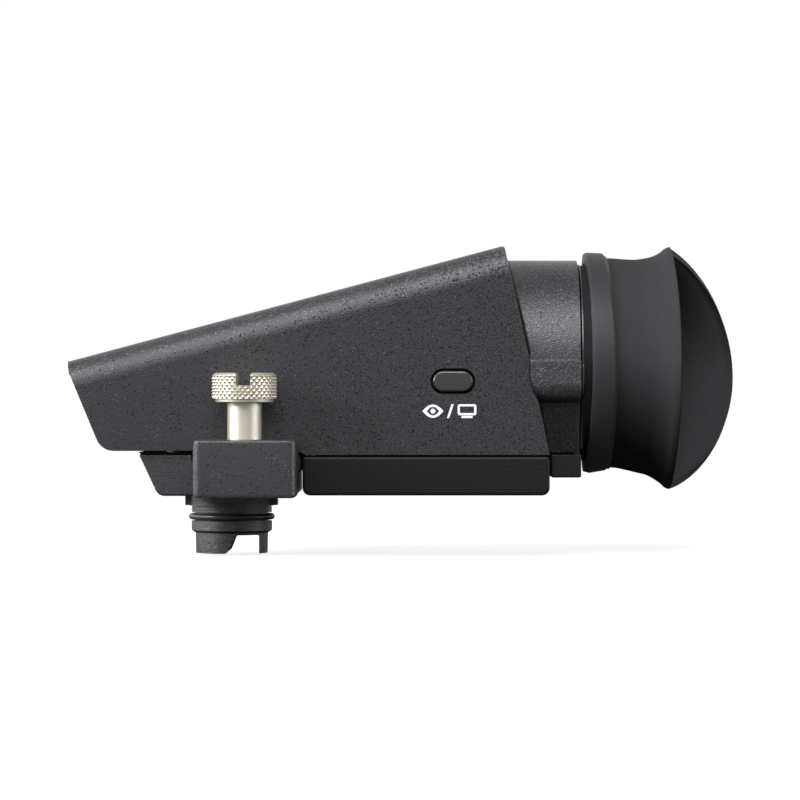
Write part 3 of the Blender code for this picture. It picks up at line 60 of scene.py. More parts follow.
casing_roof_reach = 0.0539
casing_joint_step = 0.00035
casing_floor_step = 0.00082
casing_roof_fillet = 0.0056
casing_nose_fillet = 0.0036
casing_edge_round = 0.0005
casing_lip_height = 0.0027
casing_lip_depth = 0.0002
casing_nose_stand_out = 0.00033
casing_step_round = 0.0005
casing_step_front = 0.0007
casing_step_back = 0.0005
roof_angle = math.radians(14.9)
rim_angle = math.radians(12.2)
nose_angle = math.radians(22.6)
cheek_top_rise = 0.0003
cheek_bottom_drop = 0.0078
cheek_stand_out = 0.0013
cheek_round = 0.0036
cheek_root_round = 0.0006
cheek_draft = 0.0003
cheek_notch_depth = 0.0008
cheek_edge_round = 0.0003
foot_side_inset = 0.0012
foot_front_reach = 0.01715
foot_back_reach = 0.0144
foot_nose_angle = math.radians(25.0)
foot_nose_fillet = 0.0019
foot_chamfer = 0.0009
foot_chamfer_share = 0.534
foot_shadow_gap = 0.0006
foot_pad_nose_inset = 0.0004
foot_pad_back_reach = 0.0115
foot_pad_width = 0.032
lug_front_reach = 0.00573
lug_back_reach = 0.0139
lug_stand_out = 0.0152
lug_rise = 0.0023
lug_corner_round = 0.0015
lug_root_depth = 0.00025
lug_notch_width = 0.0012
lug_notch_depth = 0.0014
cover_start = 0.0147
cover_end = 0.0627
cover_bottom_height = 0.00012
cover_top_gap = 0.00025
cover_stand_out = 0.0001
cover_corner_round = 0.0015
cover_edge_round = 0.0006
cover_wall = 0.0015
rear_cover_bottom_share = 0.432
rear_cover_side_inset = 0.0008
rear_cover_edge_round = 0.0004
housing_end = 0.06885
housing_front = 0.053
housing_side_inset = 0.00135
housing_lower_inset = 0.0029
housing_bottom_inset = 0.00265
housing_lower_lean = 0.004
housing_edge_round = 0.0005
housing_tube_wall = 0.0019
housing_tube_front = 0.0508
bulkhead_thickness = 0.002
bulkhead_recess = 0.0008
plate_thickness = 0.0005
plate_inset = 0.0003
neck_inset = 0.001
neck_wall = 0.0021
neck_length = 0.00345
window_lip_length = 0.0013
window_lip_width = 0.0012
collar_front = 0.0703
collar_stand_out = 0.0016
collar_length = 0.0039
collar_rear_slope = 0.0005
collar_bore_length = 0.0027
collar_slant = 0.0007
collar_saddle = 0.00075
collar_edge_round = 0.0003
cup_base_inset = 0.0011
cup_wall = 0.0014
cup_rim_reach = 0.0874
cup_rim_near_bulge = 0.0006
cup_rim_top_flare = 0.0022
cup_rim_bottom_flare = 0.0043
cup_wing_length = 0.0152
cup_wing_flare = 0.0025
cup_lip_round = 0.00045
cup_station_shares = (0.0, 0.18, 0.36, 0.52, 0.66, 0.77, 0.86, 0.93, 0.98, 1.0)
cup_top_flare_shares = (0.0, -0.02, -0.11, -0.14, -0.02, 0.16, 0.45, 0.8, 0.97, 1.0)
cup_low_flare_shares = (0.0, 0.01, 0.12, 0.24, 0.35, 0.53, 0.72, 0.92, 0.99, 1.0)
cup_wing_peak_angle = math.radians(186)
housing_wall = 0.004
carrier_wall = 0.0014
dioptre_travel = 0.00115
dial_turn = math.radians(50)
dial_back_offset = 0.0041
dial_drop = 0.0038
dial_radius = 0.0038
dial_thickness = 0.0019
dial_edge_round = 0.0004
dial_shaft_radius = 0.0023
dial_shaft_gap = 0.0002
dial_pin_radius = 0.0007
dial_slot_depth = 0.0006
dial_slot_width = 0.0008
button_back = 0.0439
button_drop = 0.0038
button_length = 0.00775
button_width = 0.004
button_side_gap = 0.0005
button_stand_out = 0.0005
button_edge_round = 0.0004
button_flange = 0.0009
button_flange_thickness = 0.0007
screw_stand_out = 0.0075
screw_back_offset = 0.0038
screw_head_radius = 0.0063
screw_head_height = 0.0057
screw_head_round = 0.0011
screw_shank_radius = 0.0033
screw_lift = 0.0071
screw_thread_radius = 0.0025
screw_thread_depth = 0.0004
screw_thread_pitch = 0.0008
screw_thread_turns = 6
screw_tip_height = 0.0006
screw_slot_width = 0.00275
screw_slot_depth = 0.0024
screw_ceiling = 0.0025
screw_chamber_radius = 0.0056
screw_ring_thickness = 0.0008
screw_neck_radius = 0.0026
plug_bore_radius = 0.00545
plug_stem_radius = 0.007
plug_stem_drop = 0.0007
plug_collar_radius = 0.0085
plug_collar_drop = 0.0024
plug_key_radius = 0.0092
plug_key_drop = 0.0023
plug_key_half_width = 0.0025
plug_groove_line = 0.0002
plug_land_radius = 0.008
plug_land_drop = 0.0037
plug_ring_groove_drop = 0.00545
plug_ring_groove_radius = 0.00705
plug_lower_land_radius = 0.00805
plug_lower_land_drop = 0.0073
plug_skirt_radius = 0.00725
plug_skirt_start = 0.00785
plug_skirt_drop = 0.01185
plug_skirt_draft = 0.0001
plug_window_top = 0.0082
plug_window_back = 0.0056
plug_window_front = 0.00095
plug_window_foot = -0.00055
plug_window_round = 0.0012
plug_seat_recess = 0.0004
plug_seat_margin = 0.0004
nut_radius = 0.01
nut_thickness = 0.0024
ring_section_radius = 0.00063
ring_outer_radius = 0.0086
cover_screw_head_radius = 0.002
cover_screw_head_height = 0.0013
cover_screw_side_inset = 0.0043
cover_screw_front = 0.021
cover_screw_back = 0.049
rear_screw_head_radius = 0.0017
rear_screw_head_height = 0.001
rear_screw_side_inset = 0.011

# Finer counts than the CAD part's, for round highlights
large_sides = 128
middle_sides = 96
small_sides = 48
arc_steps = 12
fine_arc_steps = 6
edge_steps = 4
small_edge_steps = 2
cup_sides = 144
cup_stations = 48

# Angles between faces from which an edge is rounded, or shaded as sharp
edge_angle = math.radians(35)
steep_edge_angle = math.radians(60)
sharp_angle = math.radians(30)
cup_sharp_angle = math.radians(50)
knurl_sharp_angle = math.radians(25)

# In a new prism, faces within this angle and points within this distance become one
flat_angle = math.radians(0.5)
fine_weld_distance = weld_distance / 4

# Details that only the looks have
cup_wing_top_power = 1.63
cup_wing_low_power = 1.48
ledge_edge_round = 0.00015
cover_rib = 0.0012
plate_face_inset = 0.0008
plate_face_thickness = 0.00024
collar_chamfer = 0.0005
collar_back_saddle = 0.00035
collar_back_trim = 0.0003
collar_top_taper = 0.00015
collar_foot_taper = 0.00055
knurl_count = 34
knurl_samples = 12
knurl_depth = 0.0004
knurl_fade = 0.0003
knurl_top_drop = 0.0006
knurl_bottom_rise = 0.0007
knurl_ring_slope = 0.0003
knurl_ring_inset = 0.0007
knurl_foot_taper = 0.0003
slot_edge_round = 0.0006
slot_foot_round = 0.0001
lug_soft_round = 0.0007
foot_pad_nose_lean = 0.0006
shade_sleeve_wall = 0.00008
rim_shade_width = 0.0008
print_lift = 0.00003
print_stroke = 0.00044
print_height = 0.0027
print_back = 0.0434
print_middle_height = 0.0165

# Numbers inside the shared effects
fine_grain_ratio = 3.1
speck_wobble_per_metre = 5200.0
speck_wobble = 0.16
speck_smallest = 0.5
speck_spread = 0.7
rim_shade_core_share = 0.6

# Stage: the view, and how bright the room and the floor are where they are mirrored
view_centre = (0.03364, 0.0, 0.01866)
camera_distance = 0.7
view_angle = math.radians(13.05)
nearest_view = camera_distance / 20
world_fill = 0.06
mirrored_below = 0.12
mirrored_above = 0.45
mirrored_in_front = 0.66
floor_height = -0.0122
floor_radius = 0.5
floor_centre = (0.034, 0.0)
floor_fade = (floor_radius * 0.35, floor_radius * 0.95)
floor_roughness = 0.9
floor_glow = 0.85
floor_colour = 0.4
floor_mirrored = 0.15
floor_bounce = 0.1
white = (1, 1, 1, 1)

# Where the mirrored room changes its level: from and to, in a ray's rise and in its depth
low_band = (-0.25, 0.05)
high_band = (0.35, 0.8)
front_band = (-0.4, 0.3)

# Lamps, which all face the view's centre: name, place, size and power
lamp_colour = (0.955, 0.955, 1.0)
lamps = (
    ("key_lamp", (0.034, -0.585, 0.564), (0.35, 0.5), 4.9),
    ("upper_left_lamp", (-0.23, -0.376, 0.674), (0.3, 0.3), 2.6),
    ("low_left_lamp", (-0.46, -0.23, 0.21), (0.22, 0.22), 3.5),
    ("left_lamp", (-0.73, 0.1, 0.158), (0.7, 0.3), 2.4),
    ("right_lamp", (0.81, -0.137, 0.158), (0.6, 0.3), 3.1),
)

# Places that follow from the sizes above
roof_slope = math.tan(roof_angle)
rim_slope = math.tan(rim_angle)
nose_slope = math.tan(nose_angle)
housing_radius = casing_half_width - housing_side_inset
housing_lower_half_width = housing_radius - housing_lower_inset
housing_bottom_height = optical_height - housing_radius + housing_bottom_inset
casing_joint_height = housing_bottom_height - casing_joint_step
casing_floor_height = casing_joint_height + casing_floor_step
casing_tip_height = optical_height + housing_radius - casing_tip_below_housing
casing_length = casing_tip_reach + casing_roof_reach
casing_roof_height = casing_tip_height + casing_length * roof_slope
cavity_half_width = casing_half_width - casing_wall
cavity_floor_height = casing_floor_height + casing_wall
cheek_half_width = housing_radius + cheek_stand_out
cheek_top_height = optical_height + cheek_top_rise
cheek_bottom_height = optical_height - cheek_bottom_drop
cheek_middle_height = (cheek_top_height + cheek_bottom_height) / 2
foot_half_width = casing_half_width - foot_side_inset
foot_top_height = casing_floor_height - foot_shadow_gap
foot_pad_height = casing_floor_height - fit_gap
foot_chamfer_height = foot_top_height * foot_chamfer_share
lug_height = casing_floor_height + lug_rise
lug_side_reach = casing_half_width + lug_stand_out
cover_top_height = casing_joint_height - cover_top_gap
cover_half_width = casing_half_width + cover_stand_out
cover_screw_side = casing_half_width - cover_screw_side_inset
rear_screw_side = casing_half_width - rear_screw_side_inset
rear_cover_half_width = casing_half_width - rear_cover_side_inset
rear_cover_bottom_height = housing_bottom_height * rear_cover_bottom_share
neck_radius = housing_radius - neck_inset
neck_bore_radius = neck_radius - neck_wall
window_lip_radius = neck_bore_radius - window_lip_width
collar_radius = housing_radius + collar_stand_out
cup_base_radius = collar_radius - cup_base_inset
cup_rim_top_radius = cup_base_radius + cup_rim_top_flare
cup_rim_bottom_radius = cup_base_radius + cup_rim_bottom_flare
plate_front = housing_end + fit_gap
plate_back = plate_front + plate_thickness
neck_end = plate_front + neck_length
window_front = plate_front + window_lip_length + fit_gap
collar_bore_radius = neck_radius + fit_gap
cup_base_front = collar_front + collar_bore_length + fit_gap
cup_rim_mean_radius = (cup_rim_top_radius + cup_rim_bottom_radius) / 2
bore_radius = housing_radius - housing_wall
carrier_radius = bore_radius - fit_gap
carrier_bore_radius = carrier_radius - carrier_wall
lens_radius = carrier_bore_radius - fit_gap
dial_back = housing_end - dial_back_offset
dial_height = optical_height - dial_drop
crank_radius = dioptre_travel / math.sin(dial_turn)
dial_side = cheek_half_width + fit_gap
button_height = optical_height - button_drop
button_face = casing_half_width + button_stand_out
button_flange_face = cavity_half_width - fit_gap
button_flange_back = button_flange_face - button_flange_thickness
screw_side_offset = casing_half_width + screw_stand_out
screw_head_bottom = lug_height + screw_lift
screw_chamber_top = lug_height - screw_ceiling
screw_ring_top = screw_chamber_top - fit_gap
screw_ring_bottom = screw_ring_top - screw_ring_thickness
plug_collar_top = plug_seat_recess - fit_gap
plug_stem_top = foot_pad_height - plug_stem_drop
nut_bottom = plug_stem_top - nut_thickness

pieces_collection = bpy.data.collections.new("viewfinder_pieces")
bpy.context.scene.collection.children.link(pieces_collection)


# Places that the painted rim shade and the shapes share


def rim_x(height):
    """The casing's rear rim at a height: it leans back towards the foot."""
    return casing_roof_reach + (casing_roof_height - height) * rim_slope


def cheek_notch_centre(radius):
    """The centre of the round notch, which bites the casing's leaning rim by the notch's depth."""
    away = radius - cheek_notch_depth
    return (rim_x(cheek_middle_height) + away * math.cos(rim_angle),
            cheek_middle_height + away * math.sin(rim_angle))


def cheek_notch_radius():
    """An arc over the cheek's height whose rise is the notch's depth."""
    half_chord = (cheek_top_height - cheek_bottom_height) / 2 / math.cos(rim_angle)
    return (half_chord ** 2 + cheek_notch_depth ** 2) / (2 * cheek_notch_depth)


# Node helpers


def fill(made, values):
    """Set a node's sockets to values, or link them to other nodes' sockets."""
    for key, value in values.items():
        if isinstance(value, bpy.types.NodeSocket):
            made.id_data.links.new(value, made.inputs[key])
        else:
            made.inputs[key].default_value = value
    return made


def node(tree, kind, values=None, **settings):
    """A shader node with its settings and its sockets."""
    made = tree.nodes.new(kind)
    for key, value in settings.items():
        setattr(made, key, value)
    return fill(made, values or {})


def calc(tree, operation, *values, clamp=False):
    """The result of a Math node on numbers or sockets."""
    return node(tree, 'ShaderNodeMath', dict(enumerate(values)), operation=operation,
                use_clamp=clamp).outputs[0]


def blend_colours(tree, share, first, second):
    """First where share is 0, second where it is 1."""
    first, second = (value if isinstance(value, bpy.types.NodeSocket) else (*value, 1.0)
                     for value in (first, second))
    return node(tree, 'ShaderNodeMix', {0: share, 6: first, 7: second},
                data_type='RGBA').outputs[2]


def ramp(tree, value, start, end, first, last, **settings):
    """First up to the start, last from the end on, and a change between them."""
    return node(tree, 'ShaderNodeMapRange', {0: value, 1: start, 2: end, 3: first, 4: last},
                **settings).outputs[0]


def shader_vector(tree, kind="Object"):
    """The shaded point in the casing's frame, or another vector such as its normal."""
    return node(tree, 'ShaderNodeTexCoord').outputs[kind]


def split(tree, vector):
    """The three parts of a vector."""
    return node(tree, 'ShaderNodeSeparateXYZ', {0: vector}).outputs


def noise(tree, where, per_metre, detail, **more):
    """Cloudy values round one half."""
    values = {"Vector": where, "Scale": per_metre, "Detail": detail, **more}
    return node(tree, 'ShaderNodeTexNoise', values).outputs[0]


def new_group(name, inputs, outputs):
    """A shader group with float inputs, their defaults, and float outputs."""
    tree = bpy.data.node_groups.new(name, 'ShaderNodeTree')
    for label, value in inputs.items():
        socket = tree.interface.new_socket(label, in_out='INPUT', socket_type='NodeSocketFloat')
        socket.default_value = value
    for label in outputs:
        tree.interface.new_socket(label, in_out='OUTPUT', socket_type='NodeSocketFloat')
    return tree, tree.nodes.new('NodeGroupInput').outputs, tree.nodes.new('NodeGroupOutput').inputs


def fill_group(tree, group, values):
    """A shared effect in a material's tree."""
    return node(tree, 'ShaderNodeGroup', values, node_tree=group)


# Effects that several materials share


def make_grain():
    """Fine pebbled grain, as moulded or sprayed, with a smaller grain on it."""
    tree, given, result = new_group("fine_grain", {"Per Metre": 2500.0, "Fine Share": 0.4},
                                    ("Height", "Tone"))
    where = shader_vector(tree)
    pebbles = node(tree, 'ShaderNodeTexVoronoi', {"Vector": where, "Scale": given["Per Metre"]})
    fine_per_metre = calc(tree, 'MULTIPLY', given["Per Metre"], fine_grain_ratio)
    fine = noise(tree, where, fine_per_metre, 1.0)
    extra = calc(tree, 'MULTIPLY', fine, given["Fine Share"])
    tree.links.new(calc(tree, 'SUBTRACT', extra, pebbles.outputs["Distance"]), result["Height"])
    tone = noise(tree, where, given["Per Metre"], 2.0, Roughness=0.55)
    tree.links.new(tone, result["Tone"])
    return tree


def make_specks():
    """Scattered specks, each in its own cell: their share can change rearward, and on the rounds as
    a painted glint, with more pale flecks and fewer dark ones where rounds catch the highlights.
    """
    tree, given, result = new_group("specks", {
        "Per Metre": 1500.0, "Radius": 0.2, "Share": 0.2, "Rearward": 0.0, "Painted Glint On Rounds": 0.0,
    }, ("Specks",))
    where = shader_vector(tree)
    rearward = split(tree, where)[0]
    facing = calc(tree, 'ABSOLUTE', split(tree, shader_vector(tree, "Normal"))[1])
    turning = calc(tree, 'MULTIPLY', facing, calc(tree, 'SUBTRACT', 1.0, facing))
    share = calc(tree, 'MULTIPLY_ADD', rearward, given["Rearward"], given["Share"])
    share = calc(tree, 'MULTIPLY_ADD', turning, given["Painted Glint On Rounds"], share)
    cells = node(tree, 'ShaderNodeTexVoronoi', {"Vector": where, "Scale": given["Per Metre"]})
    draw = node(tree, 'ShaderNodeSeparateColor', {0: cells.outputs["Color"]}).outputs
    chosen = calc(tree, 'LESS_THAN', draw[0], share)
    size = calc(tree, 'MULTIPLY_ADD', draw[1], speck_spread, speck_smallest)
    size = calc(tree, 'MULTIPLY', size, given["Radius"])
    wobble = noise(tree, where, speck_wobble_per_metre, 0.0)
    uneven = calc(tree, 'MULTIPLY_ADD', wobble, speck_wobble, -speck_wobble / 2)
    distance = calc(tree, 'ADD', cells.outputs["Distance"], uneven)
    inside = calc(tree, 'LESS_THAN', distance, size)
    tree.links.new(calc(tree, 'MULTIPLY', chosen, inside), result["Specks"])
    return tree


def make_handling():
    """Slow, soft changes of gloss, as handling and wiping leave."""
    tree, given, result = new_group("handling", {"Per Metre": 60.0, "Strength": 0.1}, ("Gloss",))
    slow = noise(tree, shader_vector(tree), given["Per Metre"], 4.0, Distortion=0.6)
    centred = calc(tree, 'SUBTRACT', slow, 0.5)
    tree.links.new(calc(tree, 'MULTIPLY', centred, given["Strength"]), result["Gloss"])
    return tree


def make_rim_shade():
    """Painted shade: a dark line on the housing behind the casing's leaning rim, where the step
    from the casing falls in shade, outside the round cheek notches.
    """
    tree, given, result = new_group("painted_rim_shade", {
        "Width": 0.0003, "Rim At Foot": 0.0, "Rim Slope": 0.0,
        "Notch Centre": 0.0, "Notch Height": 0.0, "Notch Radius": 0.0,
    }, ("Line",))
    rearward, _, height = split(tree, shader_vector(tree))
    leaning = calc(tree, 'MULTIPLY_ADD', height, given["Rim Slope"], rearward)
    behind = calc(tree, 'SUBTRACT', leaning, given["Rim At Foot"])
    core = calc(tree, 'MULTIPLY', given["Width"], rim_shade_core_share)
    near = ramp(tree, behind, core, given["Width"], 1.0, 0.0)
    across = calc(tree, 'SUBTRACT', rearward, given["Notch Centre"])
    up = calc(tree, 'SUBTRACT', height, given["Notch Height"])
    away = calc(tree, 'MULTIPLY_ADD', up, up, calc(tree, 'MULTIPLY', across, across))
    outside = calc(tree, 'GREATER_THAN', calc(tree, 'SQRT', away), given["Notch Radius"])
    tree.links.new(calc(tree, 'MULTIPLY', near, outside), result["Line"])
    return tree


def make_lathe_marks():
    """Turning marks in planes across an upright axis."""
    tree, given, result = new_group("lathe_marks", {"Per Metre": 9000.0}, ("Height",))
    height = split(tree, shader_vector(tree))[2]
    values = {"W": height, "Scale": given["Per Metre"], "Detail": 3.0}
    marks = node(tree, 'ShaderNodeTexNoise', values, noise_dimensions='1D')
    tree.links.new(marks.outputs[0], result["Height"])
    return tree


def make_downward_shade():
    """Painted shade for surfaces that look down: 0 where a surface looks down, 1 from upright on.
    """
    tree, given, result = new_group("painted_downward_shade", {"Start": -0.7, "End": 0.0}, ("Unshaded",))
    upright = split(tree, shader_vector(tree, "Normal"))[2]
    tree.links.new(ramp(tree, upright, given["Start"], given["End"], 0.0, 1.0), result["Unshaded"])
    return tree


grain = make_grain()
specks = make_specks()
handling = make_handling()
rim_shade = make_rim_shade()
lathe_marks = make_lathe_marks()
downward_shade = make_downward_shade()


# Materials


def surface(name, colour, roughness, metallic, grain_per_metre, depth, tone, gloss, specular):
    """A material with grain in its bump and tone, and handling in its gloss."""
    material = bpy.data.materials.new(name)
    material.use_nodes = True
    tree = material.node_tree
    fine = fill_group(tree, grain, {"Per Metre": grain_per_metre})
    wiped = fill_group(tree, handling, {"Strength": gloss})
    darker, lighter = ([value * change for value in colour] for change in (1 - tone, 1 + tone))
    bump = node(tree, 'ShaderNodeBump', {"Height": fine.outputs["Height"], "Distance": depth})
    fill(tree.nodes["Principled BSDF"], {
        "Base Color": blend_colours(tree, fine.outputs["Tone"], darker, lighter),
        "Roughness": calc(tree, 'ADD', wiped.outputs[0], roughness, clamp=True),
        "Normal": bump.outputs[0], "Metallic": metallic, "Specular IOR Level": specular,
    })
    return material


def finish_parts(name):
    """A finish's tree and shader, and what its colour and its roughness come from so far."""
    tree = finishes[name].node_tree
    shader = tree.nodes["Principled BSDF"]
    sources = [shader.inputs[key].links[0].from_socket for key in ("Base Color", "Roughness")]
    return tree, shader, *sources


def add_layer(name, group, values, colour, duller):
    """A layer of another colour over a finish, duller or glossier than it."""
    tree, shader, base, roughness = finish_parts(name)
    share = fill_group(tree, group, values).outputs[0]
    fill(shader, {"Base Color": blend_colours(tree, share, base, colour),
                  "Roughness": calc(tree, 'MULTIPLY_ADD', share, duller, roughness, clamp=True)})


def add_specks(name, colour, per_metre, radius, share, rearward, painted_glint_on_rounds, duller):
    """Specks over a finish."""
    add_layer(name, specks, {"Per Metre": per_metre, "Radius": radius, "Share": share,
                             "Rearward": rearward, "Painted Glint On Rounds": painted_glint_on_rounds}, colour, duller)


def add_downward_shade(name, shaded_colour, start, end):
    """Painted shade: a darker colour where the finish looks down, its own colour from upright on.
    """
    tree, shader, base, _ = finish_parts(name)
    unshaded = fill_group(tree, downward_shade, {"Start": start, "End": end}).outputs[0]
    fill(shader, {"Base Color": blend_colours(tree, unshaded, shaded_colour, base)})


def add_rim_shade(name, colour):
    """Painted shade behind the casing's rim, in a darker and dull colour."""
    radius = cheek_notch_radius()
    notch_x, notch_height = cheek_notch_centre(radius)
    add_layer(name, rim_shade, {"Width": rim_shade_width, "Rim At Foot": rim_x(0), "Rim Slope": rim_slope,
                           "Notch Centre": notch_x, "Notch Height": notch_height,
                           "Notch Radius": radius}, colour, 1.0)


def add_lathe_marks(name, per_metre, depth):
    """Turning marks under a finish's own bump."""
    tree = finishes[name].node_tree
    bump = next(item for item in tree.nodes if item.type == 'BUMP')
    marks = fill_group(tree, lathe_marks, {"Per Metre": per_metre})
    under = node(tree, 'ShaderNodeBump', {"Height": marks.outputs[0], "Distance": depth})
    fill(bump, {"Normal": under.outputs[0]})


# Finishes: name, colour, roughness, metallic, grain per metre, its depth, tone, gloss, specular
finishes = {name: surface(name, *values) for name, *values in (
    ("textured_paint", (0.0245, 0.0243, 0.0268), 0.37, 0.0, 3800.0, 0.000035, 0.45, 0.05, 0.44),
    ("foot_paint", (0.0295, 0.0293, 0.0318), 0.36, 0.0, 3800.0, 0.000035, 0.45, 0.05, 0.5),
    ("housing_paint", (0.026, 0.0258, 0.0285), 0.37, 0.0, 3800.0, 0.000038, 0.35, 0.05, 0.55),
    ("cover_plastic", (0.0065, 0.0063, 0.0068), 0.45, 0.0, 3200.0, 0.00004, 0.6, 0.08, 0.2),
    ("plug_plastic", (0.041, 0.0405, 0.0425), 0.34, 0.0, 3600.0, 0.00004, 0.4, 0.08, 0.6),
    ("anodised_plate", (0.035, 0.035, 0.036), 0.3, 0.0, 6000.0, 0.000008, 0.15, 0.1, 0.6),
    ("collar_plastic", (0.03, 0.03, 0.031), 0.5, 0.0, 5200.0, 0.000012, 0.15, 0.1, 0.25),
    ("soft_rubber", (0.035, 0.035, 0.0365), 0.75, 0.0, 4200.0, 0.000014, 0.25, 0.1, 0.1),
    ("seal_rubber", (0.034, 0.034, 0.035), 0.32, 0.0, 6000.0, 0.000004, 0.15, 0.1, 0.5),
    ("button_plastic", (0.024, 0.024, 0.025), 0.26, 0.0, 5000.0, 0.000008, 0.15, 0.1, 0.7),
    ("satin_nickel", (0.565, 0.535, 0.445), 0.5, 1.0, 9000.0, 0.000003, 0.05, 0.12, 0.5),
    ("spring_steel", (0.5, 0.5, 0.51), 0.32, 1.0, 9000.0, 0.000003, 0.05, 0.1, 0.25),
    ("black_steel", (0.05, 0.05, 0.052), 0.38, 0.9, 6000.0, 0.000006, 0.15, 0.1, 0.25),
    ("inner_black", (0.01, 0.01, 0.011), 0.75, 0.0, 4000.0, 0.00001, 0.15, 0.1, 0.25),
    ("circuit_board", (0.02, 0.1, 0.05), 0.42, 0.0, 1500.0, 0.00001, 0.3, 0.1, 0.25),
    ("chip_resin", (0.02, 0.02, 0.022), 0.5, 0.0, 7000.0, 0.00001, 0.15, 0.1, 0.25),
    ("panel_glass", (0.008, 0.009, 0.012), 0.08, 0.0, 500.0, 0.000001, 0.15, 0.1, 0.25),
    ("ribbon", (0.45, 0.2, 0.04), 0.35, 0.0, 800.0, 0.000004, 0.15, 0.1, 0.25),
    ("gold_contact", (0.83, 0.6, 0.25), 0.22, 1.0, 9000.0, 0.000002, 0.04, 0.1, 0.25),
    ("white_print", (0.92, 0.92, 0.92), 0.5, 0.0, 5000.0, 0.000006, 0.06, 0.1, 0.25),
    ("coated_glass", (0.86, 0.9, 0.95), 0.02, 0.0, 300.0, 0.0000002, 0.01, 0.01, 0.25),
)}

# Specks: finish, colour, per metre, radius, share, its change rearward and on rounds, duller
# The pale flecks are in the paint. Their extra share on the rounds, and the fewer dark specks
# there, are a painted glint where the rounds catch the highlights
for layer in (
    ("textured_paint", (0.2, 0.2, 0.21), 3600.0, 0.32, 0.04, 0.0, 2.4, -0.12),
    ("textured_paint", (0.0, 0.0, 0.0), 2700.0, 0.48, 0.29, 8.0, -3.2, 0.5),
    ("textured_paint", (0.0, 0.0, 0.0), 1500.0, 0.25, 0.14, 0.0, -0.5, 0.5),
    ("foot_paint", (0.2, 0.2, 0.21), 3600.0, 0.3, 0.03, 0.0, 2.4, -0.12),
    ("foot_paint", (0.0, 0.0, 0.0), 2700.0, 0.42, 0.26, 0.0, 0.0, 0.5),
    ("foot_paint", (0.0, 0.0, 0.0), 1500.0, 0.25, 0.1, 0.0, 0.0, 0.5),
    ("housing_paint", (0.17, 0.17, 0.18), 3600.0, 0.34, 0.45, 0.0, 0.0, -0.1),
    ("housing_paint", (0.0, 0.0, 0.0), 1900.0, 0.27, 0.2, 0.0, 0.0, 0.5),
    ("cover_plastic", (0.02, 0.02, 0.021), 2600.0, 0.2, 0.15, 0.0, 0.0, 0.5),
    ("plug_plastic", (0.22, 0.22, 0.23), 3600.0, 0.32, 0.3, 0.0, 0.0, -0.1),
    ("plug_plastic", (0.002, 0.002, 0.002), 3000.0, 0.35, 0.4, 0.0, 0.0, 0.5),
):
    add_specks(*layer)
# Painted shade: a dark, dull line on the housing just behind the casing's rim
add_rim_shade("housing_paint", (0.001, 0.001, 0.001))
# Painted shade on the rubber wherever it looks down, as on the wing's inside near its top
add_downward_shade("soft_rubber", (0.0085, 0.0085, 0.009), -0.75, 0.05)
add_lathe_marks("satin_nickel", 9000.0, 0.000005)
fill(finish_parts("coated_glass")[1], {
    "Transmission Weight": 1.0, "IOR": 1.5, "Coat Weight": 0.35,
    "Coat Tint": (0.9, 0.88, 0.97, 1.0), "Coat Roughness": 0.02,
})


# Shapes


def place(name, data):
    """A new object among the pieces."""
    item = bpy.data.objects.new(name, data)
    pieces_collection.objects.link(item)
    return item


def place_form(name, form):
    """A new object from a finished form."""
    mesh = bpy.data.meshes.new(name)
    form.to_mesh(mesh)
    form.free()
    return place(name, mesh)


def baked_mesh(item, name):
    """The object's evaluated mesh, in its own coordinates."""
    bpy.context.view_layer.update()
    depsgraph = bpy.context.evaluated_depsgraph_get()
    mesh = bpy.data.meshes.new_from_object(item.evaluated_get(depsgraph))
    mesh.name = name
    return mesh


def tools_of(item):
    """The cutters of a piece, and theirs."""
    found = []
    for modifier in item.modifiers:
        tool = getattr(modifier, "object", None)
        if tool is not None:
            found += [tool, *tools_of(tool)]
    return found


def finish_piece(item, name, body, nodes, slot, finish=None, sharp=sharp_angle):
    """Bake a piece into the casing's frame, shade it, and let it ride and stand for its nodes."""
    mesh = baked_mesh(item, name)
    mesh.transform(item.matrix_world)
    for spare in {item, *tools_of(item)}:
        bpy.data.objects.remove(spare, do_unlink=True)
    piece = place(name, mesh)
    mesh.materials.clear()
    mesh.materials.append(finishes[finish or slot])
    mesh.shade_smooth()
    mesh.set_sharp_from_angle(angle=sharp)
    weighted = piece.modifiers.new("even_shading", 'WEIGHTED_NORMAL')
    weighted.keep_sharp = True
    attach(piece, body)
    if nodes:
        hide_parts(*nodes)


def arc_corners(corners, steps=arc_steps):
    """Turn corners given as (u, v, radius) into an outline with round corners.

    Two round corners that share a side share its length by their radii.
    """
    outline = []
    count = len(corners)
    for index, (u, v, radius) in enumerate(corners):
        here = Vector((u, v))
        if radius == 0:
            outline.append(here)
            continue
        before_u, before_v, before_radius = corners[index - 1]
        after_u, after_v, after_radius = corners[(index + 1) % count]
        before = Vector((before_u, before_v)) - here
        after = Vector((after_u, after_v)) - here
        half_angle = before.angle(after) / 2
        before_room = before.length * radius / (radius + before_radius)
        after_room = after.length * radius / (radius + after_radius)
        reach = min(radius / math.tan(half_angle), before_room, after_room)
        fitted = reach * math.tan(half_angle)
        middle = (before.normalized() + after.normalized()).normalized()
        centre = here + middle * (fitted / math.sin(half_angle))
        first = (here + before.normalized() * reach - centre).normalized()
        last = (here + after.normalized() * reach - centre).normalized()
        for step in range(steps + 1):
            outline.append(centre + first.slerp(last, step / steps) * fitted)
    return outline


def flat_curve(name, loops, thickness):
    """A filled sheet from closed loops of points; a loop inside another is a hole."""
    curve = bpy.data.curves.new(name, 'CURVE')
    curve.dimensions = '2D'
    curve.fill_mode = 'BOTH'
    curve.extrude = thickness / 2
    for loop in loops:
        spline = curve.splines.new('POLY')
        spline.points.add(len(loop) - 1)
        for point, (u, v) in zip(spline.points, loop):
            point.co = (u, v, 0, 1)
        spline.use_cyclic_u = True
    return place(name, curve)


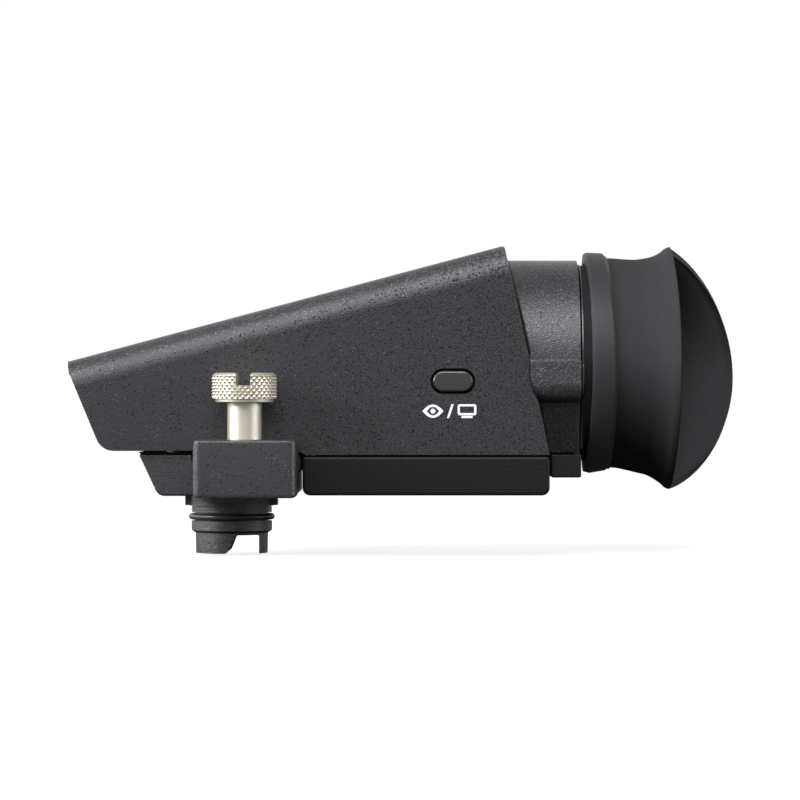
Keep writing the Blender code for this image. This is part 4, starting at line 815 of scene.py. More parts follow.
def prism(name, outline, low, high, axis='Y'):
    """A flat outline carried along an axis from low to high.

    The outline is (y, z) along X, (x, z) along Y and (x, y) along Z.
    """
    flat = flat_curve(name, [outline], high - low)
    curve = flat.data
    mesh = baked_mesh(flat, name)
    bpy.data.objects.remove(flat, do_unlink=True)
    bpy.data.curves.remove(curve)
    middle = [(low + high) / 2 if axis == letter else 0 for letter in "XYZ"]
    turn = {'X': ((0, 0, 1, 0), (1, 0, 0, 0), (0, 1, 0, 0), (0, 0, 0, 1)),
            'Y': ((1, 0, 0, 0), (0, 0, -1, 0), (0, 1, 0, 0), (0, 0, 0, 1)),
            'Z': Matrix.Identity(4)}[axis]
    mesh.transform(Matrix.Translation(middle) @ Matrix(turn))
    form = bmesh.new()
    form.from_mesh(mesh)
    bmesh.ops.remove_doubles(form, verts=form.verts, dist=fine_weld_distance)
    bmesh.ops.dissolve_limit(form, angle_limit=flat_angle, verts=form.verts, edges=form.edges)
    bmesh.ops.recalc_face_normals(form, faces=form.faces)
    form.to_mesh(mesh)
    form.free()
    return place(name, mesh)


def wide_prism(name, outline, half_width):
    """A side outline carried across the middle plane."""
    return prism(name, outline, -half_width, half_width)


def block(name, low, high):
    """A box between two corners."""
    low, high = Vector(low), Vector(high)
    form = bmesh.new()
    bmesh.ops.create_cube(form, size=1)
    matrix = Matrix.Translation((high + low) / 2) @ Matrix.Diagonal((*(high - low), 1))
    bmesh.ops.transform(form, matrix=matrix, verts=form.verts)
    return place_form(name, form)


def rod(name, radius, start, end, sides):
    """A round bar between two points on a line along X, Y or Z."""
    start, end = Vector(start), Vector(end)
    form = bmesh.new()
    bmesh.ops.create_cone(form, cap_ends=True, segments=sides, radius1=radius, radius2=radius,
                          depth=(end - start).length)
    turn = (end - start).to_track_quat('Z', 'Y').to_matrix().to_4x4()
    matrix = Matrix.Translation((start + end) / 2) @ turn
    bmesh.ops.transform(form, matrix=matrix, verts=form.verts)
    return place_form(name, form)


def stepped(start, *steps):
    """Profile points of a stepped bar or bore: each step's radius, and the height where it ends."""
    profile = []
    for radius, end in steps:
        profile += [(radius, start), (radius, end)]
        start = end
    return profile


def optical_rod(name, radius, front, back):
    """A round bar on the optical axis."""
    return rod(name, radius, (front, 0, optical_height), (back, 0, optical_height), large_sides)


def turned(name, profile, sides, axis='Z', at=(0, 0, 0)):
    """A profile of (radius, height) points turned about an axis through a point.

    A profile that starts and ends on the axis is a solid; any other is closed into a ring.
    """
    mesh = bpy.data.meshes.new(name)
    edges = [(index, index + 1) for index in range(len(profile) - 1)]
    if profile[0][0] > 0:
        edges.append((len(profile) - 1, 0))
    mesh.from_pydata([(radius, 0, height) for radius, height in profile], edges, [])
    item = place(name, mesh)
    screw = item.modifiers.new("turn", 'SCREW')
    screw.steps = sides
    screw.render_steps = sides
    screw.use_merge_vertices = True
    screw.merge_threshold = weld_distance
    item.rotation_euler = {'X': (0, math.pi / 2, 0), 'Y': (-math.pi / 2, 0, 0),
                           'Z': (0, 0, 0)}[axis]
    item.location = at
    return item


def skin(name, rings):
    """A surface through rings of points; its first and last ring may be a single point."""
    form = bmesh.new()
    rings = [[form.verts.new(point) for point in ring] for ring in rings]
    columns = max(len(ring) for ring in rings)
    for ring, following in zip(rings, rings[1:]):
        for column in range(columns):
            beside = (column + 1) % columns
            corners = (ring[column % len(ring)], following[column % len(following)],
                       following[beside % len(following)], ring[beside % len(ring)])
            form.faces.new(list(dict.fromkeys(corners)))
    bmesh.ops.recalc_face_normals(form, faces=form.faces)
    return place_form(name, form)


def round_edges(item, width, steps=edge_steps, angle=edge_angle):
    """Round the edges that turn by more than an angle."""
    bevel = item.modifiers.new("round", 'BEVEL')
    bevel.width = width
    bevel.segments = steps
    bevel.limit_method = 'ANGLE'
    bevel.angle_limit = angle
    bevel.use_clamp_overlap = True
    return item


def combine(item, tools, operation):
    """Cut, join or trim an object with tools from the cutters."""
    for tool in tools:
        boolean = item.modifiers.new(operation.lower(), 'BOOLEAN')
        boolean.operation = operation
        boolean.solver = 'EXACT'
        boolean.object = tool
    return item


def cut(item, *tools):
    return combine(item, tools, 'DIFFERENCE')


def join(item, *tools):
    return combine(item, tools, 'UNION')


def trim(item, *tools):
    return combine(item, tools, 'INTERSECT')


def roof_prism(name, inset):
    """A long bar under the roof's plane, with the casing's width and its round shoulders."""
    half_width = casing_half_width - inset
    shoulder = casing_roof_fillet - inset
    section = arc_corners([(-half_width, -casing_length, 0), (half_width, -casing_length, 0),
                           (half_width, -inset, shoulder), (-half_width, -inset, shoulder)],
                          steps=arc_steps + 1)
    bar = prism(name, section, -casing_length, 2 * casing_length, 'X')
    bar.rotation_euler = (0, -roof_angle, 0)
    bar.location = (-casing_tip_reach, 0, casing_tip_height)
    return bar


def nose_x(height):
    """The slanted front face at a height."""
    tip_x = -casing_tip_reach - casing_nose_stand_out
    return tip_x + (casing_tip_height - height) * nose_slope


def casing_outline():
    """The casing seen from the side."""
    lip_bottom = casing_tip_height - casing_lip_height
    lip_x = nose_x(lip_bottom) - casing_lip_depth
    return arc_corners([
        (-casing_tip_reach, casing_tip_height, 0),
        (lip_x, lip_bottom, 0),
        (nose_x(lip_bottom), lip_bottom, 0),
        (nose_x(casing_floor_height), casing_floor_height, casing_nose_fillet),
        (cover_start - casing_step_front, casing_floor_height, casing_step_round),
        (cover_start + casing_step_back, casing_joint_height, casing_step_round),
        (rim_x(casing_joint_height), casing_joint_height, 0),
        (casing_roof_reach, casing_roof_height, casing_edge_round),
    ])


def cavity_outline():
    """The hollow seen from the side: closed in front, open below behind the step and at the rim."""
    behind = rim_x(0) + overrun
    wall_on_nose = casing_wall / math.cos(nose_angle)
    open_from = cover_start + casing_wall
    beyond_roof = casing_tip_height + (behind + casing_tip_reach) * roof_slope + casing_wall
    front = nose_x(cavity_floor_height) + wall_on_nose
    roof_front = nose_x(casing_tip_height) + wall_on_nose
    return arc_corners([
        (roof_front, casing_tip_height + casing_wall, 0),
        (front, cavity_floor_height, casing_nose_fillet / 2),
        (open_from, cavity_floor_height, 0),
        (open_from, casing_joint_height - overrun, 0),
        (behind, casing_joint_height - overrun, 0),
        (behind, beyond_roof, 0),
    ])


def build_upper_casing():
    """The wedge-shaped shell, with its button hole and the notches for the cheeks."""
    shell = round_edges(wide_prism("casing_blank", casing_outline(), casing_half_width),
                        casing_edge_round, angle=steep_edge_angle)
    trim(shell, roof_prism("casing_roof_bar", 0))
    cavity = wide_prism("casing_cavity", cavity_outline(), cavity_half_width)
    trim(cavity, roof_prism("cavity_roof_bar", casing_wall))
    hole = prism("button_hole", button_outline(2 * button_side_gap),
                 -casing_half_width - overrun, -cavity_half_width + overrun / 2)
    return cut(shell, cavity, cheek_notch("casing_cheek_notch", 0), hole)


def cheek_notch(name, gap):
    """The round bar across the casing that bites the notches out of its rim."""
    radius = cheek_notch_radius()
    x, height = cheek_notch_centre(radius)
    return rod(name, radius - gap, (x, -casing_half_width - overrun, height),
               (x, casing_half_width + overrun, height), 2 * large_sides)


def button_outline(wider=0.0):
    """The button's stadium from the side, or a wider one round it."""
    radius = (button_width + wider) / 2
    straight = (button_length + wider) / 2 - radius
    steps = 2 * arc_steps
    outline = []
    for side in (1, -1):
        for step in range(steps + 1):
            angle = math.pi * (step / steps - 0.5) + (0 if side > 0 else math.pi)
            outline.append((button_back + side * straight + radius * math.cos(angle),
                            button_height + radius * math.sin(angle)))
    return outline


def foot_outline():
    """The foot from the side: a slanted nose, and a chamfer low at its back."""
    nose_run = foot_top_height * math.tan(foot_nose_angle)
    return arc_corners([
        (-foot_front_reach, foot_top_height, 0),
        (-foot_front_reach + nose_run, 0, foot_nose_fillet),
        (foot_back_reach - foot_chamfer, 0, 0),
        (foot_back_reach - foot_chamfer, foot_chamfer_height, 0),
        (foot_back_reach, foot_chamfer_height + foot_chamfer, 0),
        (foot_back_reach, foot_top_height, 0),
    ])


def build_mount_foot():
    """The foot: a slab with a thin pad on it, and the thumbscrew's lug on one side."""
    foot = round_edges(wide_prism("foot_blank", foot_outline(), foot_half_width),
                       casing_edge_round)
    nose = -foot_front_reach + foot_pad_nose_inset / 2
    pad = wide_prism("foot_pad", [
        (nose, foot_top_height - close_gap), (foot_pad_back_reach, foot_top_height - close_gap),
        (foot_pad_back_reach, foot_pad_height), (nose - foot_pad_nose_lean, foot_pad_height),
    ], foot_pad_width / 2)
    join(foot, pad, cut(lug_block(), lug_shoulder_cut()))
    return cut(foot, foot_plug_bore(), *screw_bores(), lug_notch())


def lug_block():
    """The thumbscrew's lug, with softly rounded edges."""
    outline = arc_corners([
        (-lug_front_reach, -foot_half_width + lug_root_depth, 0),
        (-lug_front_reach, -lug_side_reach, lug_corner_round),
        (lug_back_reach, -lug_side_reach, lug_corner_round),
        (lug_back_reach, -foot_half_width + lug_root_depth, 0),
    ])
    return round_edges(prism("lug_block", outline, 0, lug_height, 'Z'), lug_soft_round,
                       small_edge_steps)


def lug_shoulder_cut():
    """The lug stands clear of the casing's side where it rises above the foot."""
    return block("lug_shoulder_cut",
                 (-lug_front_reach - overrun, -casing_half_width - fit_gap,
                  foot_top_height + close_gap),
                 (lug_back_reach + overrun, -foot_half_width + overrun, lug_height + overrun))


def lug_notch():
    """A small notch in the foot's upper edge, in front of the lug."""
    return block("lug_notch",
                 (-lug_front_reach - lug_notch_width, -foot_half_width - close_gap,
                  foot_top_height - lug_notch_depth),
                 (-lug_front_reach + close_gap, -foot_half_width + lug_notch_width,
                  foot_top_height + overrun))


def foot_plug_bore():
    """The plug's stepped bore: a shallow seat below, the stem's hole, the nut's room above."""
    top = foot_pad_height + overrun
    return turned("foot_plug_bore", [(0, top), *stepped(
        top, (nut_radius + fit_gap, nut_bottom - fit_gap),
        (plug_stem_radius + fit_gap, plug_seat_recess),
        (plug_key_radius + plug_seat_margin, -overrun)), (0, -overrun)], large_sides)


def screw_bores():
    """The thumbscrew's hole through the lug, with the chamber of its ring below."""
    x, y = screw_back_offset, -screw_side_offset
    hole = rod("screw_hole", screw_shank_radius + fit_gap, (x, y, -overrun),
               (x, y, lug_height + overrun), middle_sides)
    chamber = rod("screw_chamber", screw_chamber_radius, (x, y, -overrun),
                  (x, y, screw_chamber_top), middle_sides)
    return [hole, chamber]


def cover_outline():
    """The bottom cover from the side."""
    return arc_corners([
        (cover_start, cover_top_height, 0),
        (cover_start, cover_bottom_height, cover_corner_round),
        (cover_end, cover_bottom_height, cover_corner_round),
        (cover_end, cover_top_height, 0),
    ], steps=fine_arc_steps)


def cut_head_rooms(cover, name, places, bottom, height, radius):
    """Room for each screw's head in a cover's underside."""
    for index, (x, y) in enumerate(places, 1):
        cut(cover, rod(f"{name}_{index}", radius + fit_gap, (x, y, bottom - overrun),
                       (x, y, bottom + height + 2 * fit_gap), small_sides))
    return cover


def build_bottom_cover():
    """The tray that closes the casing from below, with room for each screw's head."""
    cover = round_edges(wide_prism("cover_blank", cover_outline(), cover_half_width),
                        cover_edge_round)
    floor = cover_bottom_height + 2 * cover_wall
    cut(cover, block("cover_hollow",
                     (cover_start + cover_wall, -cover_half_width + cover_wall, floor),
                     (cover_end - cover_wall, cover_half_width - cover_wall,
                      cover_top_height + overrun)))
    places = [(x, side * cover_screw_side) for x in (cover_screw_front, cover_screw_back)
              for side in (-1, 1)]
    return cut_head_rooms(cover, "cover_head_room", places, cover_bottom_height,
                          cover_screw_head_height, cover_screw_head_radius)


def build_rear_lower_cover():
    """The short cover under the eyepiece, with a low rib that closes the slit under the housing."""
    top = housing_bottom_height - fit_gap
    cover = round_edges(block(
        "rear_cover_blank",
        (cover_end + fit_gap, -rear_cover_half_width, rear_cover_bottom_height),
        (housing_end, rear_cover_half_width, top + rear_cover_edge_round)), rear_cover_edge_round)
    cut(cover, block("rear_cover_top", (cover_end - overrun, -casing_half_width, top),
                     (housing_end + overrun, casing_half_width, top + overrun)))
    round_edges(cover, ledge_edge_round, small_edge_steps, steep_edge_angle)
    join(cover, block("rear_cover_rib",
                      (housing_end - cover_rib, cover_rib - rear_cover_half_width, top - cover_rib),
                      (housing_end - fit_gap, rear_cover_half_width - cover_rib,
                       housing_bottom_height + housing_edge_round)))
    x = (cover_end + housing_end) / 2
    return cut_head_rooms(cover, "rear_head_room", [(x, -rear_screw_side), (x, rear_screw_side)],
                          rear_cover_bottom_height, rear_screw_head_height, rear_screw_head_radius)


def housing_outline(inset=0.0):
    """The housing's section: round above the cheeks, and a narrower box below them."""
    radius = housing_radius - inset
    cheek = cheek_half_width - inset
    lower = housing_lower_half_width - inset
    bottom = housing_bottom_height + inset
    rounding = arc_corners([
        (0, bottom, 0),
        (lower - housing_lower_lean, bottom, ledge_edge_round),
        (lower, cheek_bottom_height + inset, cheek_root_round),
        (cheek, cheek_bottom_height + inset + cheek_draft, cheek_round),
        (cheek, cheek_top_height - inset, cheek_edge_round),
        (radius, cheek_top_height - inset, 0),
    ])
    half = [(point[0], point[1]) for point in rounding[1:]]
    start = math.asin((cheek_top_height - inset - optical_height) / radius)
    steps = middle_sides // 2
    arch = []
    for step in range(steps + 1):
        angle = start + (math.pi - 2 * start) * step / steps
        arch.append((radius * math.cos(angle), optical_height + radius * math.sin(angle)))
    half[-1] = arch[0]
    mirrored = [(-u, v) for u, v in reversed(half[:-1])]
    return half + arch[1:] + mirrored


def bulkhead():
    """The leaning wall that closes the casing's rim round the housing."""
    inset = casing_wall + close_gap
    bottom = housing_bottom_height - close_gap
    top = casing_roof_height
    back_low = rim_x(bottom) - bulkhead_recess
    back_top = rim_x(top) - bulkhead_recess
    wall = wide_prism("bulkhead", [
        (back_low, bottom), (back_top, top), (back_top - bulkhead_thickness, top),
        (back_low - bulkhead_thickness, bottom),
    ], casing_half_width - inset)
    return trim(wall, roof_prism("bulkhead_roof_bar", inset))


def cheek_clearance(side):
    """What the casing's side wall takes from the housing's front, outside the cavity."""
    end = "left" if side < 0 else "right"
    inner = housing_radius + close_gap / 2
    low_y, high_y = sorted((side * inner, side * (casing_half_width + overrun)))
    room = block(f"cheek_clearance_{end}", (housing_front - overrun, low_y, 0),
                 (housing_end + overrun, high_y, casing_roof_height))
    return cut(room, cheek_notch(f"cheek_keep_{end}", fit_gap))


def build_rear_housing():
    """The eyepiece housing, with its cheeks, its bulkhead and the bore of the lens group."""
    housing = round_edges(prism("housing_blank", housing_outline(), housing_front, housing_end,
                                'X'), housing_edge_round, angle=steep_edge_angle)
    cut(housing, cheek_clearance(-1), cheek_clearance(1))
    tube = optical_rod("housing_tube", bore_radius + housing_tube_wall, housing_tube_front,
                       housing_front + overrun)
    join(housing, bulkhead(), tube)
    bore = optical_rod("lens_bore", bore_radius, housing_tube_front - overrun,
                       housing_end + overrun)
    dial_hole = rod("dial_hole", dial_shaft_radius + dial_shaft_gap,
                    (dial_back, carrier_bore_radius, dial_height),
                    (dial_back, cheek_half_width + overrun, dial_height), small_sides)
    return cut(housing, bore, dial_hole)


def neck_bore():
    """The stepped bore that holds the sealed window."""
    back, front = neck_end + overrun, plate_front - overrun
    return turned("neck_bore", [(0, back), *stepped(
        back, (neck_bore_radius, window_front - fit_gap), (window_lip_radius, front)),
        (0, front)], large_sides, 'X', (0, 0, optical_height))


def build_eyepiece_plate():
    """The thin plate on the housing's end."""
    plate = prism("plate_blank", housing_outline(plate_face_inset), plate_front,
                  plate_front + plate_face_thickness, 'X')
    return cut(plate, neck_bore())


def build_eyepiece_neck():
    """The neck behind the plate, with a flange just inside the plate's edge; its dull black is
    painted shade for the gap round the collar.
    """
    neck = optical_rod("neck_bar", neck_radius, plate_front + plate_thickness / 2, neck_end)
    face = prism("neck_face", housing_outline(plate_face_inset + plate_inset),
                 plate_front + plate_face_thickness / 2, plate_back, 'X')
    return cut(join(neck, face), neck_bore())


def collar_lean(angle):
    """How far the collar leans back at an angle, from its top down to its foot."""
    return collar_slant * (1 - math.sin(angle)) / 2


def collar_shift(angle):
    """The collar leans back at its foot and at its sides, like a saddle."""
    return collar_lean(angle) + collar_saddle * math.cos(angle) ** 2


def build_eyecup_collar():
    """The ring that turns on the neck and carries the rubber cup; its front face is upright."""
    front = collar_front
    back = collar_front + collar_length
    seat = cup_base_radius + fit_gap
    collar = turned("collar_blank", [
        (collar_radius - collar_edge_round, back + collar_edge_round),
        (collar_radius, back), (collar_radius, front + collar_chamfer),
        (collar_radius - collar_edge_round, front),
        *stepped(front, (collar_bore_radius, front + collar_bore_length),
                 (seat, back + collar_rear_slope)),
    ], large_sides, 'X')
    mesh = baked_mesh(collar, "collar_mesh")
    bpy.data.objects.remove(collar, do_unlink=True)
    mesh.transform(Matrix.Rotation(math.pi / 2, 4, 'Y'))
    for vertex in mesh.vertices:
        angle = math.atan2(vertex.co.z, -vertex.co.y)
        shift = collar_shift(angle)
        away = math.hypot(vertex.co.y, vertex.co.z)
        if vertex.co.x < front + print_lift:
            shift -= collar_lean(angle)
        elif vertex.co.x > back - print_lift and away > seat + fit_gap:
            shift += collar_back_saddle * math.cos(angle) ** 2 - collar_back_trim
            low = (1 - math.sin(angle)) / 2
            taper = collar_top_taper + (collar_foot_taper - collar_top_taper) * low
            vertex.co.yz *= 1 - taper / collar_radius
        vertex.co.x += shift
    item = place("collar_item", mesh)
    item.location = (0, 0, optical_height)
    return item


def wing_share(angle):
    """How much of the wing stands at an angle: none on the near half, all at the wing's peak."""
    top, bottom = math.pi / 2, 1.5 * math.pi
    angle = angle % (2 * math.pi)
    if not top < angle < bottom:
        return 0.0
    above = angle < cup_wing_peak_angle
    edge = top if above else bottom
    power = cup_wing_top_power if above else cup_wing_low_power
    away = (angle - cup_wing_peak_angle) / (edge - cup_wing_peak_angle)
    return max(math.cos(away * math.pi / 2), 0.0) ** power


def cup_point(angle, station, top_flare, low_flare):
    """A point of the cup's outer face, at an angle about its axis and a station along it."""
    wing = wing_share(angle)
    base = cup_base_front + collar_shift(angle)
    near = max(math.cos(angle), 0.0) ** 2
    rim = cup_rim_reach + cup_rim_near_bulge * near + cup_wing_length * wing
    low = max((1 - math.sin(angle)) / 2, wing)
    flare = top_flare + (low_flare - top_flare) * low
    sag = (cup_rim_bottom_radius - cup_rim_top_radius) / 2
    rim_radius = cup_rim_mean_radius - sag * math.sin(angle) + cup_wing_flare * wing
    radius = cup_base_radius + (rim_radius - cup_base_radius) * flare
    return (base + (rim - base) * station, -radius * math.cos(angle), radius * math.sin(angle))


def build_dioptre_dial():
    """The dial on the far cheek: a slotted cap, its shaft, and the crank pin at its inner end."""
    bore_half_chord = math.sqrt(bore_radius ** 2 - (dial_height - optical_height) ** 2)
    shaft_end = bore_half_chord + fit_gap
    high = dial_height + crank_radius - optical_height
    pin_end = math.sqrt(lens_radius ** 2 - high ** 2) + 2 * fit_gap
    top = dial_side + dial_thickness
    dial = turned("dial_blank", [
        (0, top), (dial_radius - dial_edge_round, top),
        *stepped(top - dial_edge_round, (dial_radius, dial_side), (dial_shaft_radius, shaft_end)),
        (0, shaft_end),
    ], middle_sides, 'Y', (dial_back, 0, dial_height))
    pin = rod("crank_pin", dial_pin_radius, (dial_back, pin_end, dial_height + crank_radius),
              (dial_back, shaft_end + overrun, dial_height + crank_radius), small_sides)
    slot = block("dial_slot",
                 (dial_back - dial_slot_width / 2, top - dial_slot_depth,
                  dial_height - dial_radius),
                 (dial_back + dial_slot_width / 2, top + overrun, dial_height + dial_radius))
    return cut(join(dial, pin), slot)


def build_button():
    """The press button's cap."""
    return round_edges(prism("button_blank", button_outline(), -button_face, -button_flange_back),
                       button_edge_round, angle=steep_edge_angle)


def build_button_flange():
    """The button's flange behind the casing's wall."""
    return prism("button_flange", button_outline(2 * button_flange), -button_flange_face,
                 -button_flange_back)


def build_button_shade_sleeve():
    """A thin dull black sleeve inside the button's hole: painted shade in the recess round the
    button.
    """
    gap = 2 * button_side_gap
    sleeve = prism("button_sleeve", button_outline(gap), -casing_half_width + close_gap,
                   -cavity_half_width)
    return cut(sleeve, prism("button_sleeve_bore", button_outline(gap - 2 * shade_sleeve_wall),
                             -casing_half_width - overrun, 0))


def thread_profile(top, bottom):
    """Ridges and roots of the screw's thread, from top to bottom."""
    profile = []
    pitch = min(screw_thread_pitch, (top - bottom) / (screw_thread_turns + 1))
    for turn in range(screw_thread_turns):
        crest = bottom + (screw_thread_turns - turn) * pitch
        profile += [(screw_thread_radius, crest),
                    (screw_thread_radius - screw_thread_depth, crest - pitch / 2)]
    return profile


def build_plug():
    """The plug that enters the camera: keyed collar, seal groove and a half-open skirt."""
    plug = turned("plug_blank", [
        *stepped(plug_stem_top, (plug_stem_radius, plug_collar_top),
                 (plug_collar_radius, -plug_collar_drop),
                 (plug_land_radius - plug_groove_line, -plug_collar_drop - plug_groove_line),
                 (plug_land_radius, -plug_land_drop),
                 (plug_ring_groove_radius, -plug_ring_groove_drop),
                 (plug_lower_land_radius, -plug_lower_land_drop)),
        (plug_skirt_radius, -plug_skirt_start),
        (plug_skirt_radius - plug_skirt_draft, -plug_skirt_drop),
        (plug_bore_radius, -plug_skirt_drop), (plug_bore_radius, plug_stem_top),
    ], large_sides)
    for side, name in ((1, "plug_key_back"), (-1, "plug_key_front")):
        low_x, high_x = sorted((side * plug_stem_radius, side * plug_key_radius))
        join(plug, block(name, (low_x, -plug_key_half_width, -plug_key_drop),
                         (high_x, plug_key_half_width, plug_collar_top - close_gap)))
    return cut(plug, plug_window())


def plug_window():
    """The window cut across the skirt, with its slanting front edge."""
    foot = -plug_skirt_drop
    outline = arc_corners([
        (plug_window_back, foot - overrun, 0),
        (plug_window_back, -plug_window_top, fit_gap),
        (plug_window_front, -plug_window_top, plug_window_round),
        (plug_window_foot, foot, plug_window_round),
        (plug_window_foot - plug_window_round, foot, 0),
        (plug_window_foot - plug_window_round, foot - overrun, 0),
    ])
    return wide_prism("plug_window", outline, plug_key_radius)


def build_seal_ring():
    """The O-ring in the plug's groove."""
    middle = ring_outer_radius - ring_section_radius
    height = -(plug_land_drop + plug_ring_groove_drop) / 2
    turns = [4 * math.pi * step / small_sides for step in range(small_sides // 2)]
    return turned("ring_blank", [(middle + ring_section_radius * math.cos(turn),
                                  height + ring_section_radius * math.sin(turn))
                                 for turn in turns], large_sides)


# Pieces that only the looks have


def smooth_share(shares, at):
    """A smooth curve through evenly numbered shares."""
    last = len(shares) - 1
    index = min(int(at), last - 1)
    step = at - index
    before = shares[max(index - 1, 0)]
    first, second = shares[index], shares[index + 1]
    after = shares[min(index + 2, last)]
    return 0.5 * (2 * first + (second - before) * step
                  + (2 * before - 5 * first + 4 * second - after) * step ** 2
                  + (3 * first - before - 3 * second + after) * step ** 3)


def build_soft_cup():
    """The eyecup's shell in many fine rings."""
    last = len(cup_station_shares) - 1
    angles = [2 * math.pi * step / cup_sides for step in range(cup_sides)]
    rings = []
    for row in range(cup_stations + 1):
        at = [smooth_share(shares, last * row / cup_stations)
              for shares in (cup_station_shares, cup_top_flare_shares, cup_low_flare_shares)]
        rings.append([cup_point(angle, *at) for angle in angles])
    cup = skin("eyecup_blank", rings)
    cup.location = (0, 0, optical_height)
    wall = cup.modifiers.new("wall", 'SOLIDIFY')
    wall.thickness = cup_wall
    wall.offset = -1
    wall.use_even_offset = True
    return round_edges(cup, cup_lip_round, angle=steep_edge_angle)


def knurl_height(turn, height):
    """The knurl's relief, 0 in its grooves and 1 on its points."""
    across = turn * knurl_count / (2 * math.pi)
    along = height * knurl_count / (2 * math.pi * screw_head_radius)
    first = abs(2 * ((across + along) % 1) - 1)
    second = abs(2 * ((across - along) % 1) - 1)
    return min(first, second)


def head_rows():
    """Rows of (radius, height, knurl) from the head's top face to the shank's tip."""
    top = screw_head_bottom + screw_head_height
    rows = [(0.0, top, 0.0), (screw_head_radius - screw_head_round, top, 0.0)]
    knurl_top = top - knurl_top_drop
    knurl_bottom = screw_head_bottom + knurl_bottom_rise
    steps = 2 * fine_arc_steps
    for step in range(1, steps):
        angle = math.pi / 2 * (1 - step / steps)
        height = top - screw_head_round * (1 - math.sin(angle))
        radius = screw_head_radius - screw_head_round * (1 - math.cos(angle))
        knurl = min(max((knurl_top - height) / knurl_fade, 0.0), 1.0)
        rows.append((radius, height, knurl))
    row_height = 2 * math.pi * screw_head_radius / (knurl_count * knurl_samples)
    height = math.floor((top - screw_head_round) / row_height) * row_height
    while height > knurl_bottom:
        knurl = min((height - knurl_bottom) / knurl_fade, 1.0)
        taper = max(1 - (height - knurl_bottom) / (2 * knurl_foot_taper), 0.0)
        rows.append((screw_head_radius - knurl_foot_taper * taper ** 2, height, knurl))
        height -= row_height
    # The plain ring under the knurl, whose lower edge is broken in three small steps
    ring_radius = screw_head_radius - knurl_ring_inset
    edge = knurl_ring_slope / 3
    rows += [(screw_head_radius - knurl_depth, knurl_bottom, 0.0),
             (ring_radius, knurl_bottom - edge / 2, 0.0),
             (ring_radius - edge / 2, screw_head_bottom + 1.5 * edge, 0.0),
             (ring_radius - 1.5 * edge, screw_head_bottom + edge / 2, 0.0),
             (ring_radius - 3 * edge, screw_head_bottom, 0.0)]
    return rows


def shank_rows():
    """Rows from the head down: shank, the clip's neck, its stop and the thread."""
    neck_top = screw_ring_top + close_gap
    neck_bottom = screw_ring_bottom - close_gap
    stop_bottom = neck_bottom - screw_ring_thickness
    rows = [*stepped(screw_head_bottom, (screw_shank_radius, neck_top),
                     (screw_neck_radius, neck_bottom), (screw_shank_radius, stop_bottom)),
            (screw_thread_radius, stop_bottom), *thread_profile(stop_bottom, screw_tip_height),
            (screw_thread_radius - screw_thread_depth, screw_tip_height), (0, screw_tip_height)]
    return [(radius, height, 0.0) for radius, height in rows]


def build_knurled_screw():
    """The thumbscrew with a real diamond knurl round its head."""
    columns = knurl_count * knurl_samples
    turns = [2 * math.pi * column / columns for column in range(columns)]
    rings = []
    for radius, height, knurl in head_rows() + shank_rows():
        ring = []
        for turn in turns if radius else [0]:
            reach = radius - knurl * knurl_depth * (1 - knurl_height(turn, height))
            ring.append((reach * math.cos(turn), reach * math.sin(turn), height))
        rings.append(ring)
    screw = skin("thumbscrew_blank", rings)
    screw.location = (screw_back_offset, -screw_side_offset, 0)
    return cut(screw, slot_cutter())


def slot_cutter():
    """The driver slot, whose mouth widens in a small round on both sides."""
    top = screw_head_bottom + screw_head_height
    half = screw_slot_width / 2
    lip = top + print_lift
    wide = half + 2 * slot_edge_round
    outline = arc_corners([
        (screw_back_offset - half, top - screw_slot_depth, slot_foot_round),
        (screw_back_offset + half, top - screw_slot_depth, slot_foot_round),
        (screw_back_offset + half, lip, slot_edge_round),
        (screw_back_offset + wide, lip, 0),
        (screw_back_offset + wide, lip + overrun, 0),
        (screw_back_offset - wide, lip + overrun, 0),
        (screw_back_offset - wide, lip, 0),
        (screw_back_offset - half, lip, slot_edge_round),
    ], steps=fine_arc_steps)
    middle, reach = -screw_side_offset, screw_head_radius + overrun
    return prism("slot_cutter", outline, middle - reach, middle + reach)


def eye_loop(centre, half_length, half_height):
    """An almond between two arcs."""
    points = []
    steps = 4 * fine_arc_steps
    for side in (1, -1):
        for step in range(steps):
            across = side * (2 * (step / steps) - 1)
            points.append((centre[0] - across * half_length,
                           centre[1] + side * half_height * (1 - across ** 2)))
    return points


def round_loop(centre, radius):
    """A circle."""
    steps = 8 * fine_arc_steps
    return [(centre[0] + radius * math.cos(2 * math.pi * step / steps),
             centre[1] + radius * math.sin(2 * math.pi * step / steps)) for step in range(steps)]


def box_loop(centre, half_length, half_height, corner):
    """A box with round corners."""
    u, v = centre
    return arc_corners([
        (u - half_length, v - half_height, corner), (u + half_length, v - half_height, corner),
        (u + half_length, v + half_height, corner), (u - half_length, v + half_height, corner)])


